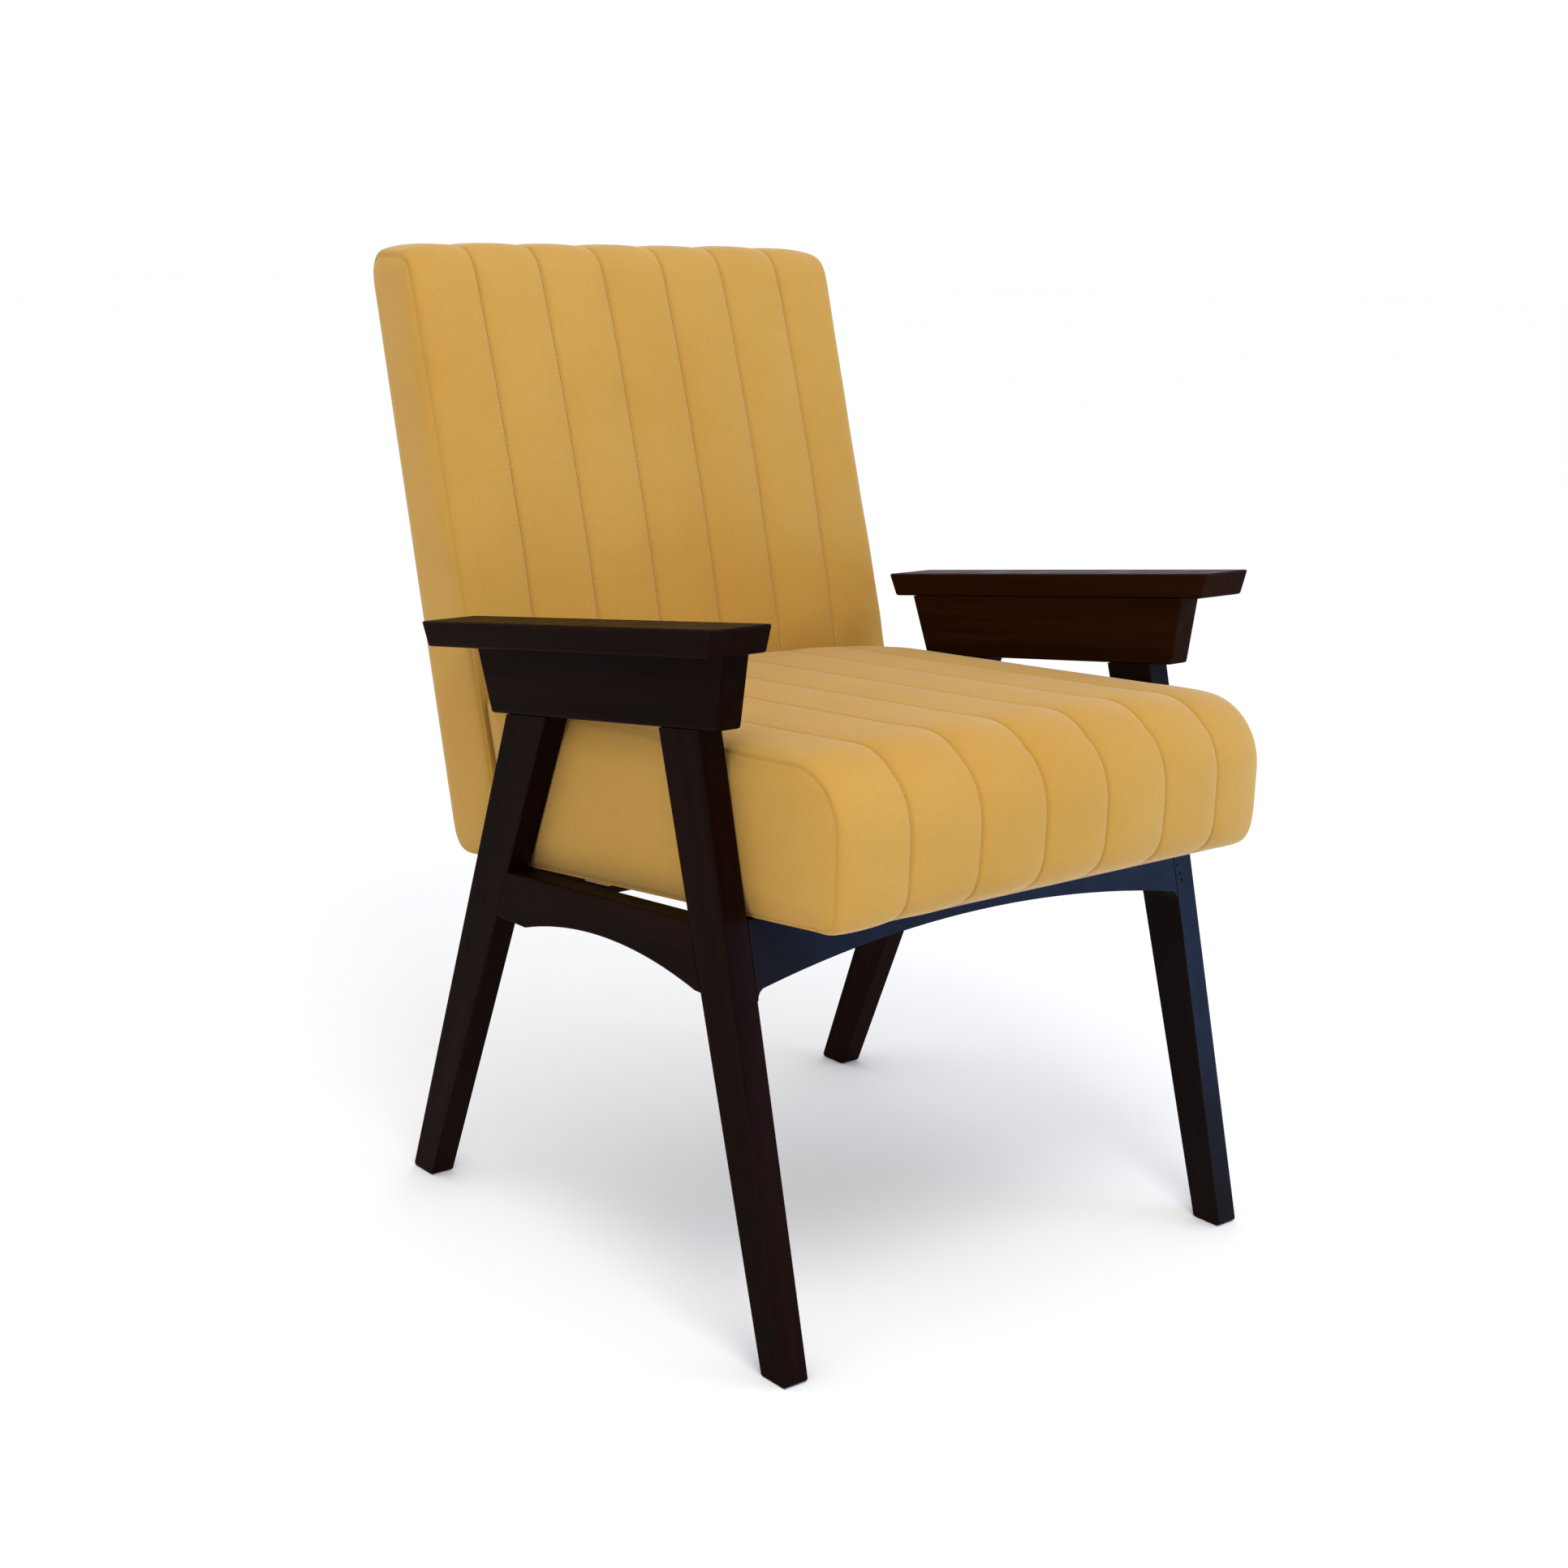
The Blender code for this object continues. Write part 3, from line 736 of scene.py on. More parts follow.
def read_normals(mesh: bpy.types.Mesh) -> np.ndarray:
    """A mesh's vertex normals as rows.

    Args:
        mesh: the mesh.

    Returns:
        Rows of x, y and z.
    """
    flat = np.empty(len(mesh.vertices) * 3)
    mesh.vertex_normals.foreach_get("vector", flat)
    return flat.reshape(-1, 3)


def write_points(mesh: bpy.types.Mesh, points: np.ndarray) -> None:
    """Moves a mesh's vertices.

    Args:
        mesh: the mesh.
        points: rows of x, y and z.
    """
    mesh.vertices.foreach_set("co", points.ravel())
    mesh.update()


def add_object(name: str, mesh: bpy.types.Mesh,
               material: bpy.types.Material | None = None) -> bpy.types.Object:
    """Links a mesh into the scene as a smooth piece.

    Args:
        name: the piece's name.
        mesh: its mesh.
        material: its finish.

    Returns:
        The piece.
    """
    piece = bpy.data.objects.new(name, mesh)
    bpy.context.collection.objects.link(piece)
    if material is not None:
        mesh.materials.append(material)
    mesh.polygons.foreach_set("use_smooth", np.ones(len(mesh.polygons), dtype=bool))
    return piece


def make_mesh(name: str, shape: bmesh.types.BMesh) -> bpy.types.Mesh:
    """Turns a finished bmesh into a mesh and frees it.

    Args:
        name: the mesh's name.
        shape: the bmesh.

    Returns:
        The mesh.
    """
    mesh = bpy.data.meshes.new(name)
    shape.to_mesh(mesh)
    shape.free()
    return mesh


def box_grid(name: str, counts: Sequence[int]) -> bpy.types.Mesh:
    """A unit box from 0 to 1 whose faces are cut into a grid.

    Args:
        name: the mesh's name.
        counts: how many cells along each axis.

    Returns:
        The mesh.
    """
    shape = bmesh.new()
    bmesh.ops.create_cube(shape, size=1.0, matrix=Matrix.Translation((0.5, 0.5, 0.5)))
    for axis, count in enumerate(counts):
        along = [edge for edge in shape.edges
                 if abs((edge.verts[0].co - edge.verts[1].co)[axis]) > 0.5]
        bmesh.ops.subdivide_edges(shape, edges=along, cuts=count - 1)
    bmesh.ops.recalc_face_normals(shape, faces=shape.faces)
    return make_mesh(name, shape)


# ---------------------------------------------------------------------------
# Pockets for the hard panels
# ---------------------------------------------------------------------------

FLAT = 0.985                       # cosine of the most that a flat part's faces may tilt
GAP = 0.0003                       # room between a panel and its pocket
PLY = 0.015                        # thickness of the seat and back panels
COVER = 0.005                      # thickness of the rear cover


@dataclass(frozen=True)
class Side:
    """A plane round a pocket: a point on it and the direction out of the pocket."""

    point: Vector
    facing: Vector

    def holds(self, point: Vector) -> bool:
        """Whether a point is on the pocket's side of the plane."""
        return (point - self.point).dot(self.facing) < 0.0


def recess(mesh: bpy.types.Mesh, out: Vector, sides: Sequence[Side], sink: Vector) -> None:
    """Sinks a pocket into a flat part of a pad.

    Args:
        mesh: the pad's mesh.
        out: the way that the flat part faces.
        sides: the planes round the pocket.
        sink: how far and which way the pocket's floor goes.
    """
    shape = bmesh.new()
    shape.from_mesh(mesh)
    flat = [face for face in shape.faces if face.normal.dot(out) > FLAT]
    corners = {vert for face in flat for vert in face.verts}
    edges = {edge for face in flat for edge in face.edges}
    geometry = [*flat, *edges, *corners]
    for side in sides:
        cut = bmesh.ops.bisect_plane(shape, geom=geometry, dist=TINY, plane_co=side.point,
                                     plane_no=side.facing)
        geometry = cut["geom"]
    floor = [face for face in geometry
             if isinstance(face, bmesh.types.BMFace) and face.normal.dot(out) > FLAT
             and all(side.holds(face.calc_center_median()) for side in sides)]
    grown = bmesh.ops.extrude_face_region(shape, geom=floor)
    moved = [item for item in grown["geom"] if isinstance(item, bmesh.types.BMVert)]
    bmesh.ops.translate(shape, verts=moved, vec=sink)
    bmesh.ops.delete(shape, geom=floor, context="FACES")
    shape.to_mesh(mesh)
    shape.free()


def panel_sides(node: str, along: Vector) -> list[Side]:
    """The four planes round a packed panel, a gap away from it.

    Args:
        node: the panel's node.
        along: the way up or back along the panel.

    Returns:
        The planes.
    """
    low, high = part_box(node)
    reach = [point.dot(along) for point in node_points(node)]
    return [Side(Vector((low[0] - GAP, 0, 0)), Vector((-1, 0, 0))),
            Side(Vector((high[0] + GAP, 0, 0)), Vector((1, 0, 0))),
            Side(along * (min(reach) - GAP), -along),
            Side(along * (max(reach) + GAP), along)]


def node_points(node: str) -> list[Vector]:
    """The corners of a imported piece's mesh.

    Args:
        node: the piece's node.

    Returns:
        Its points.
    """
    return [vert.co.copy() for vert in bpy.data.objects[node].data.vertices]


# ---------------------------------------------------------------------------
# Padded pieces
# ---------------------------------------------------------------------------

@dataclass(frozen=True)
class Fabric:
    """How a pad's cover behaves as cloth while it settles over its filling."""

    frames: int = 14
    quality: int = 5
    mass: float = 0.25
    stretch: float = 22.0
    shear: float = 8.0
    bend: float = 0.6
    pressure: float = 4.0
    held_at_edge: float = 0.002    # the sides' cloth is held this close to their edges
    held_at_seam: float = 0.0015   # and the channels' this close to their seams
    free_pull: float = 0.3         # channels that show less than this are held all over


@dataclass
class Pad:
    """A boxed cushion, sewn in channels, that swells between its seams.

    In its own box coordinates a point has u across (0 to 1), v from the front to the rear
    and w from the underside to the top.
    """

    name: str
    nodes: tuple[str, ...]
    half: float                    # half of the width, at the side seams
    pitch: float                   # from one channel seam to the next
    front: Edge
    rear: Edge
    bottom: Edge
    top: Edge
    depth: float                   # nominal size along v
    height: float                  # nominal size along w
    radii: tuple[float, float, float, float]   # front-bottom, rear-bottom, front-top, rear-top
    softer: tuple[float, float, float, float]  # how much larger they are in the middle
    crown_power: float             # how squarely the crown reaches the side seams
    cells: tuple[int, int, int]    # per channel across, along v, along w
    top_crown: float = 0.0
    front_crown: float = 0.0
    puff: float = 0.0055           # how far a channel stands out between its seams
    fullness: float = 0.62         # below 1 the channel is steep at its seams and flat between
    left_soft: float = 0.0         # share of the softer corners kept at the left side seam
    side_bulge: float = 0.0022
    side_round: float = 0.0055     # radius along the side seams
    side_draw: float = 0.62        # share of that radius by which they are drawn in
    gather: float = 0.70           # how closely the grid lines gather at the seams
    groove: float = 0.0017         # depth of a channel seam
    groove_width: float = 0.0009
    side_groove: float = 0.55      # depth of a side seam, as a share of a channel seam's
    ripple: float = 0.0007         # height of the filling's unevenness
    ripple_scale: float = 14.0
    fill: float = 0.8
    cloth_travel: float = 0.0022   # how far the cloth may carry a point
    tight_travel: float = 0.35     # the share of it where the side bulge has no room
    seed: float = 1.0
    channels: int = 7
    fabric: Fabric = Fabric()

    @property
    def seams(self) -> list[float]:
        """The x of every channel seam."""
        first = -self.pitch * (self.channels - 2) / 2
        return [first + self.pitch * step for step in range(self.channels - 1)]

    def across(self, u: np.ndarray) -> np.ndarray:
        """The x of a point, with the grid lines drawn together at the seams.

        Args:
            u: the place across, from 0 to 1.

        Returns:
            The x of each.
        """
        stops = np.array([-self.half, *self.seams, self.half])
        cell = np.clip((u * self.channels).astype(int), 0, self.channels - 1)
        share = u * self.channels - cell
        share = share - self.gather * np.sin(2 * math.pi * share) / (2 * math.pi)
        return stops[cell] + share * (stops[cell + 1] - stops[cell])

    def on_side(self, box: np.ndarray) -> np.ndarray:
        """Whether each point is on one of the two side panels."""
        return (box[:, 0] < TINY) | (box[:, 0] > 1 - TINY)

    def edge_room(self, box: np.ndarray) -> np.ndarray:
        """Each point's distance from the nearest long edge, along v or w.

        Args:
            box: rows of u, v and w.

        Returns:
            The distances.
        """
        v, w = box[:, 1], box[:, 2]
        return np.minimum.reduce((v * self.depth, (1 - v) * self.depth,
                                  w * self.height, (1 - w) * self.height))

    def channel_share(self, x: np.ndarray) -> np.ndarray:
        """How far a point is across its channel, from 0 to 1.

        Args:
            x: the place across in metres.

        Returns:
            The shares.
        """
        stops = np.array([-self.half, *self.seams, self.half])
        cell = np.clip(np.searchsorted(stops, x + NUDGE) - 1, 0, self.channels - 1)
        return np.clip((x - stops[cell]) / (stops[cell + 1] - stops[cell]), 0.0, 1.0)

    def rounded(self, v: np.ndarray, w: np.ndarray,
                full: np.ndarray) -> tuple[np.ndarray, np.ndarray]:
        """Draws the box's four long corners into round ones.

        Args:
            v: distance from the front in metres.
            w: distance from the underside in metres.
            full: the share of the crown, 0 at the side seams and 1 in the middle.

        Returns:
            The new distances.
        """
        v, w = v.copy(), w.copy()
        corners = ((0, 0), (1, 0), (0, 1), (1, 1))
        for least, more, (far, high) in zip(self.radii, self.softer, corners):
            radius = least + more * full
            from_v = self.depth - v if far else v
            from_w = self.height - w if high else w
            s, t = np.maximum(1.0 - from_v / radius, 0), np.maximum(1.0 - from_w / radius, 0)
            draw = np.maximum(s, t) / np.maximum(np.hypot(s, t), NEVER_ZERO)
            inside = (s > 0) & (t > 0)
            from_v = np.where(inside, radius * (1.0 - s * draw), from_v)
            from_w = np.where(inside, radius * (1.0 - t * draw), from_w)
            v = self.depth - from_v if far else from_v
            w = self.height - from_w if high else from_w
        return v, w

    def shaped(self, box: np.ndarray) -> np.ndarray:
        """The plain form of the pad, before it swells.

        Args:
            box: rows of u, v and w.

        Returns:
            Rows of x, y and z.
        """
        x = self.across(box[:, 0])
        full = 1.0 - np.abs(x / self.half) ** self.crown_power
        soft = np.where(x > 0, 1.0 - (1.0 - self.left_soft) * (1.0 - full), full)
        v, w = self.rounded(box[:, 1] * self.depth, box[:, 2] * self.height, soft)
        rise, push = self.top_crown * full, -self.front_crown * full
        zero = np.zeros_like(full)
        low_front = crossing(self.bottom, self.front, zero, push)
        low_rear = crossing(self.bottom, self.rear, zero, zero)
        high_front = crossing(self.top, self.front, rise, push)
        high_rear = crossing(self.top, self.rear, rise, zero)
        v, w = (v / self.depth)[:, None], (w / self.height)[:, None]
        side = (low_front * (1 - v) + low_rear * v) * (1 - w) \
            + (high_front * (1 - v) + high_rear * v) * w
        return np.column_stack((x, side))

    def seam_pull(self, points: np.ndarray, box: np.ndarray) -> np.ndarray:
        """How strongly the channels show at a point, from 0 to 1.

        Args:
            points: rows of x, y and z.
            box: rows of u, v and w.

        Returns:
            The strengths.
        """
        raise NotImplementedError

    def swelling(self, points: np.ndarray, box: np.ndarray) -> np.ndarray:
        """How far each point stands out from the plain form.

        Args:
            points: rows of x, y and z.
            box: rows of u, v and w.

        Returns:
            The distances.
        """
        share = self.channel_share(points[:, 0])
        arch = (4.0 * share * (1.0 - share)) ** self.fullness
        out = self.puff * arch * self.seam_pull(points, box)
        bow = (16.0 * box[:, 1] * (1 - box[:, 1]) * box[:, 2] * (1 - box[:, 2])) ** 0.5
        out = np.where(self.on_side(box), self.side_bulge * bow * self.side_room(points), out)
        uneven = self.ripple * drift(points, self.ripple_scale, self.seed)
        return out + uneven * self.seam_pull(points, box)

    def barrel(self, points: np.ndarray, box: np.ndarray) -> np.ndarray:
        """How far the whole cover stands out, before the channels.

        Args:
            points: rows of x, y and z.
            box: rows of u, v and w.

        Returns:
            The distances.
        """
        return np.zeros(len(points))

    def side_room(self, points: np.ndarray) -> np.ndarray:
        """The share of the side bulge that there is room for.

        Args:
            points: rows of x, y and z.

        Returns:
            The shares.
        """
        return np.ones(len(points))

    def drawn_in(self, points: np.ndarray, box: np.ndarray) -> np.ndarray:
        """Rounds the edges along the two side seams.

        Args:
            points: rows of x, y and z.
            box: rows of u, v and w.

        Returns:
            How far each point moves in along its normal.
        """
        room = np.maximum(self.half - np.abs(points[:, 0]), self.edge_room(box))
        reach = np.clip(1.0 - room / self.side_round, 0.0, 1.0)
        round_in = 1.0 - np.sqrt(np.clip(1.0 - reach ** 2, 0.0, 1.0))
        return self.side_draw * self.side_round * round_in

    def build(self) -> bpy.types.Object:
        """Makes the pad.

        Returns:
            The piece, without its material.
        """
        across, deep, high = self.cells
        mesh = box_grid(self.name, (across * self.channels, deep, high))
        LOG.info("%s: grid of %d points", self.name, len(mesh.vertices))
        box = read_points(mesh)
        marks = mesh.attributes.new("box", "FLOAT_VECTOR", "POINT")
        marks.data.foreach_set("vector", box.ravel())
        points = self.shaped(box)
        write_points(mesh, points)
        points = points + read_normals(mesh) * self.barrel(points, box)[:, None]
        write_points(mesh, points)
        moves = self.swelling(points, box) - self.drawn_in(points, box)
        write_points(mesh, points + read_normals(mesh) * moves[:, None])
        piece = add_object(self.name, mesh)
        self.settle(piece, box)
        self.refine(piece)
        self.sew(piece.data)
        self.hollow(piece.data)
        return piece

    def hollow(self, mesh: bpy.types.Mesh) -> None:
        """Cuts the pockets for the hard pieces.

        Args:
            mesh: the pad's mesh.
        """
        raise NotImplementedError

    def settle(self, piece: bpy.types.Object, box: np.ndarray) -> None:
        """Lets the cover settle as cloth under the pressure of its filling.

        Args:
            piece: the pad.
            box: rows of u, v and w.
        """
        start = read_points(piece.data)
        share = self.channel_share(start[:, 0])
        near = np.minimum(share, 1.0 - share) * self.pitch
        fabric = self.fabric
        loose = (near >= fabric.held_at_seam) & (self.seam_pull(start, box) >= fabric.free_pull)
        held = np.where(self.on_side(box), self.edge_room(box) < fabric.held_at_edge, ~loose)
        group = piece.vertex_groups.new(name="sewn")
        group.add([int(i) for i in np.flatnonzero(held)], 1.0, "REPLACE")
        cloth = piece.modifiers.new("cloth", "CLOTH")
        settings = cloth.settings
        settings.vertex_group_mass = group.name
        settings.quality = fabric.quality
        settings.mass = fabric.mass
        settings.tension_stiffness = settings.compression_stiffness = fabric.stretch
        settings.shear_stiffness = fabric.shear
        settings.bending_stiffness = fabric.bend
        settings.use_pressure = True
        settings.uniform_pressure_force = fabric.pressure
        settings.effector_weights.gravity = 0.0
        cloth.point_cache.frame_start, cloth.point_cache.frame_end = 1, fabric.frames
        for frame in range(1, fabric.frames + 1):
            bpy.context.scene.frame_set(frame)
        seen = piece.evaluated_get(bpy.context.evaluated_depsgraph_get())
        moved = read_points(seen.data) - start
        piece.modifiers.remove(cloth)
        piece.vertex_groups.remove(group)
        bpy.context.scene.frame_set(1)
        length = np.maximum(np.linalg.norm(moved, axis=1), NEVER_ZERO)
        keep = np.minimum(1.0, self.travel(start) / length)
        LOG.info("%s: cloth moved %.1f mm at most, %.1f mm in the mean", self.name,
                 1000 * length.max(), 1000 * length.mean())
        write_points(piece.data, start + moved * keep[:, None])

    def travel(self, points: np.ndarray) -> np.ndarray:
        """How far the cloth may carry each point.

        Args:
            points: rows of x, y and z.

        Returns:
            The distances.
        """
        room = self.side_room(points)
        return self.cloth_travel * (self.tight_travel + (1.0 - self.tight_travel) * room)

    def refine(self, piece: bpy.types.Object) -> None:
        """Subdivides the pad once.

        Args:
            piece: the pad.
        """
        finer = piece.modifiers.new("finer", "SUBSURF")
        finer.levels = finer.render_levels = 1
        seen = piece.evaluated_get(bpy.context.evaluated_depsgraph_get())
        mesh = bpy.data.meshes.new_from_object(seen)
        piece.modifiers.clear()
        old, piece.data = piece.data, mesh
        bpy.data.meshes.remove(old)
        mesh.name = self.name

    def sew(self, mesh: bpy.types.Mesh) -> None:
        """Presses the channel seams and the side seams into the cover.

        Args:
            mesh: the pad's mesh.
        """
        points, box = read_points(mesh), read_box(mesh)
        gap = np.min([np.abs(points[:, 0] - x) for x in self.seams], axis=0)
        depth = self.groove * np.exp(-(gap / self.groove_width) ** 2) \
            * self.seam_pull(points, box)
        from_side = np.minimum(box[:, 0], 1 - box[:, 0]) * 2 * self.half
        corner = np.maximum(self.edge_room(box), from_side)
        depth += self.side_groove * self.groove * np.exp(-(corner / self.groove_width) ** 2)
        write_points(mesh, points - read_normals(mesh) * depth[:, None])

    def seam_route(self, mesh: bpy.types.Mesh, x: float) -> np.ndarray:
        """The points of one channel seam, in order along it.

        Args:
            mesh: the pad's mesh.
            x: the seam.

        Returns:
            Rows of x, y, z and of the surface's normal.
        """
        box = read_box(mesh)
        here = np.abs(self.across(box[:, 0]) - x) < MILLIMETRE / 100
        here &= (box[:, 1] < TINY) | (box[:, 2] > 1 - TINY)
        order = np.argsort((1 - box[here, 1]) * self.depth + (1 - box[here, 2]) * self.height)
        rows = np.hstack((read_points(mesh), read_normals(mesh)))
        return rows[here][order]


def read_box(mesh: bpy.types.Mesh) -> np.ndarray:
    """A pad's own box coordinates at its vertices.

    Args:
        mesh: the pad's mesh.

    Returns:
        Rows of u, v and w.
    """
    flat = np.empty(len(mesh.vertices) * 3)
    mesh.attributes["box"].data.foreach_get("vector", flat)
    return flat.reshape(-1, 3)


@dataclass
class SeatPad(Pad):
    """The seat, whose channels run over its top and down its round front."""

    front_barrel: float = 0.0050   # how far the front swells at half its height
    barrel_power: float = 0.8
    barrel_reach: float = 0.06     # the swell has died away this far behind the front
    left_tuck: float = 0.0075      # how far the lower front corner is tucked in on the left
    tuck_size: tuple[float, float] = (0.110, 0.050)   # how far the tuck reaches back and up
    tuck_power: int = 10           # how closely the tuck keeps to the side
    top_fade: tuple[float, float] = (0.030, 0.130)    # where the top's channels grow faint
    faint: float = 0.34            # how strongly they show behind that
    rear_start: float = 0.4        # how strongly they show at the rear edge
    turn: float = 0.030            # how far they run under the front and fade at the rear

    def shaped(self, box: np.ndarray) -> np.ndarray:
        """The plain form, with the lower front corner on the left tucked in.

        Args:
            box: rows of u, v and w.

        Returns:
            Rows of x, y and z.
        """
        points = super().shaped(box)
        reach_back = 1.0 - smooth_step(box[:, 1] * self.depth, 0.0, self.tuck_size[0])
        reach_up = 1.0 - smooth_step(box[:, 2] * self.height, 0.0, self.tuck_size[1])
        side = np.maximum(points[:, 0] / self.half, 0.0) ** self.tuck_power
        points[:, 0] -= self.left_tuck * side * reach_back * reach_up
        return points

    def seam_pull(self, points: np.ndarray, box: np.ndarray) -> np.ndarray:
        """Full on the front, faint on the top, fading under the front edge and at the rear.

        Args:
            points: rows of x, y and z.
            box: rows of u, v and w.

        Returns:
            The strengths.
        """
        from_front = box[:, 1] * self.depth
        on_top, on_front, under = box[:, 2] > 1 - TINY, box[:, 1] < TINY, box[:, 2] < TINY
        to_rear = smooth_step(self.depth - from_front, 0.0, self.turn)
        top = (1.0 - (1.0 - self.faint) * smooth_step(from_front, *self.top_fade)) \
            * (self.rear_start + (1.0 - self.rear_start) * to_rear)
        turned = under * (1.0 - smooth_step(from_front, 0.0, self.turn))
        return np.where(on_top, top, np.where(on_front, 1.0, turned))

    def barrel(self, points: np.ndarray, box: np.ndarray) -> np.ndarray:
        """The front swells between the underside and the top.

        Args:
            points: rows of x, y and z.
            box: rows of u, v and w.

        Returns:
            The distances.
        """
        across = 1.0 - np.abs(points[:, 0] / self.half) ** self.crown_power
        up = np.sin(math.pi * np.clip(box[:, 2], 0.0, 1.0)) ** self.barrel_power
        return self.front_barrel * across * up \
            * (1.0 - smooth_step(box[:, 1] * self.depth, 0.0, self.barrel_reach))

    def hollow(self, mesh: bpy.types.Mesh) -> None:
        """The pocket under the seat for its plywood panel."""
        sides = panel_sides("seat_panel", self.bottom.back)
        recess(mesh, -self.bottom.up, sides, self.bottom.up * (PLY + GAP))


@dataclass
class BackPad(Pad):
    """The back, whose channels run up its face and over its top."""

    crease: float = 0.505          # height of the seat where it meets the back
    crease_fade: float = 0.035     # the channels grow from nothing over this height
    rear_fade: float = 0.030       # and end this far before the rear of the top
    free_above: float = 0.610      # above the armrests the sides have room
    free_fade: float = 0.050
    bow: float = 0.009             # how far the face bows out between the crease and the top
    bow_power: float = 0.7

    def seam_pull(self, points: np.ndarray, box: np.ndarray) -> np.ndarray:
        """Full on the face and the top, none on the rear or beside the seat.

        Args:
            points: rows of x, y and z.
            box: rows of u, v and w.

        Returns:
            The strengths.
        """
        face = smooth_step(points[:, 2], self.crease, self.crease + self.crease_fade)
        rear = smooth_step((1 - box[:, 1]) * self.depth, 0.0, self.rear_fade)
        off_rear = np.where(box[:, 1] > 1 - TINY, 0.0, 1.0)
        return face * rear * off_rear

    def side_room(self, points: np.ndarray) -> np.ndarray:
        """None between the side frames, full above the armrests."""
        return smooth_step(points[:, 2], self.free_above, self.free_above + self.free_fade)

    def hollow(self, mesh: bpy.types.Mesh) -> None:
        """The rebate for the rear cover and, in its floor, the panel's pocket.

        Args:
            mesh: the pad's mesh.
        """
        out = self.rear.back
        for node, depth in (("back_cover", COVER + GAP), ("back_panel", PLY + GAP)):
            recess(mesh, out, panel_sides(node, self.rear.up), -out * depth)

    def bowed(self, points: np.ndarray, box: np.ndarray) -> np.ndarray:
        """The soft crown of the face between the crease and the top.

        Args:
            points: rows of x, y and z.
            box: rows of u, v and w.

        Returns:
            How far each point comes forwards.
        """
        share = np.clip((points[:, 2] - self.crease) / (self.top.at - self.crease), 0.0, 1.0)
        full = 1.0 - np.abs(points[:, 0] / self.half) ** self.crown_power
        return self.bow * np.sin(math.pi * share) ** self.bow_power * full * (1 - box[:, 1])

    def shaped(self, box: np.ndarray) -> np.ndarray:
        """The plain form, with the face bowed forwards.

        Args:
            box: rows of u, v and w.

        Returns:
            Rows of x, y and z.
        """
        points = super().shaped(box)
        lean = math.radians(self.front.degrees)
        bow = self.bowed(points, box)
        points[:, 1] -= bow * math.cos(lean)
        points[:, 2] += bow * math.sin(lean)
        return points


# ---------------------------------------------------------------------------
# Stitching
# ---------------------------------------------------------------------------

@dataclass
class Stitching:
    """The lockstitches along a pad's channel seams."""

    name: str
    pitch: float = 0.0046
    length: float = 0.0034
    thickness: float = 0.0008
    lift: float = 0.00025          # how far a stitch's middle stands off the cover
    start: float = 0.004           # the first and last stitch stay this far from the ends

    def pattern(self) -> bpy.types.Mesh:
        """One stitch, lying along Z: a short rounded length of thread.

        Returns:
            The mesh.
        """
        shape = bmesh.new()
        squash = Matrix.Diagonal((self.thickness / 2, self.thickness / 2, self.length / 2, 1))
        bmesh.ops.create_uvsphere(shape, u_segments=6, v_segments=5, radius=1.0, matrix=squash)
        return make_mesh("stitch", shape)

    def stitch(self, shape: bmesh.types.BMesh, pattern: bpy.types.Mesh, middle: Vector,
               along: Vector, out: Vector) -> None:
        """Adds one stitch.

        Args:
            shape: the mesh it goes in.
            pattern: the stitch's own mesh.
            middle: its middle.
            along: its direction.
            out: away from the cover.
        """
        side = along.cross(out).normalized()
        turn = Matrix((side, along.cross(side), along)).transposed().to_4x4()
        copy = pattern.copy()
        copy.transform(Matrix.Translation(middle) @ turn)
        shape.from_mesh(copy)
        bpy.data.meshes.remove(copy)

    def run(self, shape: bmesh.types.BMesh, route: np.ndarray) -> int:
        """Sews along a route.

        Args:
            shape: the mesh that the stitches go in.
            route: rows of a point and its normal.

        Returns:
            The number of stitches.
        """
        steps = np.linalg.norm(np.diff(route[:, :3], axis=0), axis=1)
        reach = np.concatenate(([0.0], np.cumsum(steps)))
        places = np.arange(self.start, reach[-1] - self.start, self.pitch)
        at = np.column_stack([np.interp(places, reach, route[:, c]) for c in range(6)])
        ahead = np.column_stack([np.interp(places + MILLIMETRE, reach, route[:, c])
                                 for c in range(3)])
        pattern = self.pattern()
        for row, nxt in zip(at, ahead):
            out = Vector(row[3:]).normalized()
            along = (Vector(nxt) - Vector(row[:3])).normalized()
            self.stitch(shape, pattern, Vector(row[:3]) + out * self.lift, along, out)
        bpy.data.meshes.remove(pattern)
        return len(places)

    def build(self, pad: Pad, mesh: bpy.types.Mesh,
              keep: Callable[[np.ndarray], np.ndarray]) -> bpy.types.Object:
        """Sews every channel seam of a pad.

        Args:
            pad: the pad.
            mesh: its mesh.
            keep: says which rows of a route are in sight and sewn.

        Returns:
            The piece, without its material.
        """
        shape = bmesh.new()
        count = 0
        for x in pad.seams:
            route = pad.seam_route(mesh, x)
            count += self.run(shape, route[keep(route)])
        LOG.info("%s: %d stitches", self.name, count)
        return add_object(self.name, make_mesh(self.name, shape))


# ---------------------------------------------------------------------------
# Rear cover, staples and filled pins
# ---------------------------------------------------------------------------

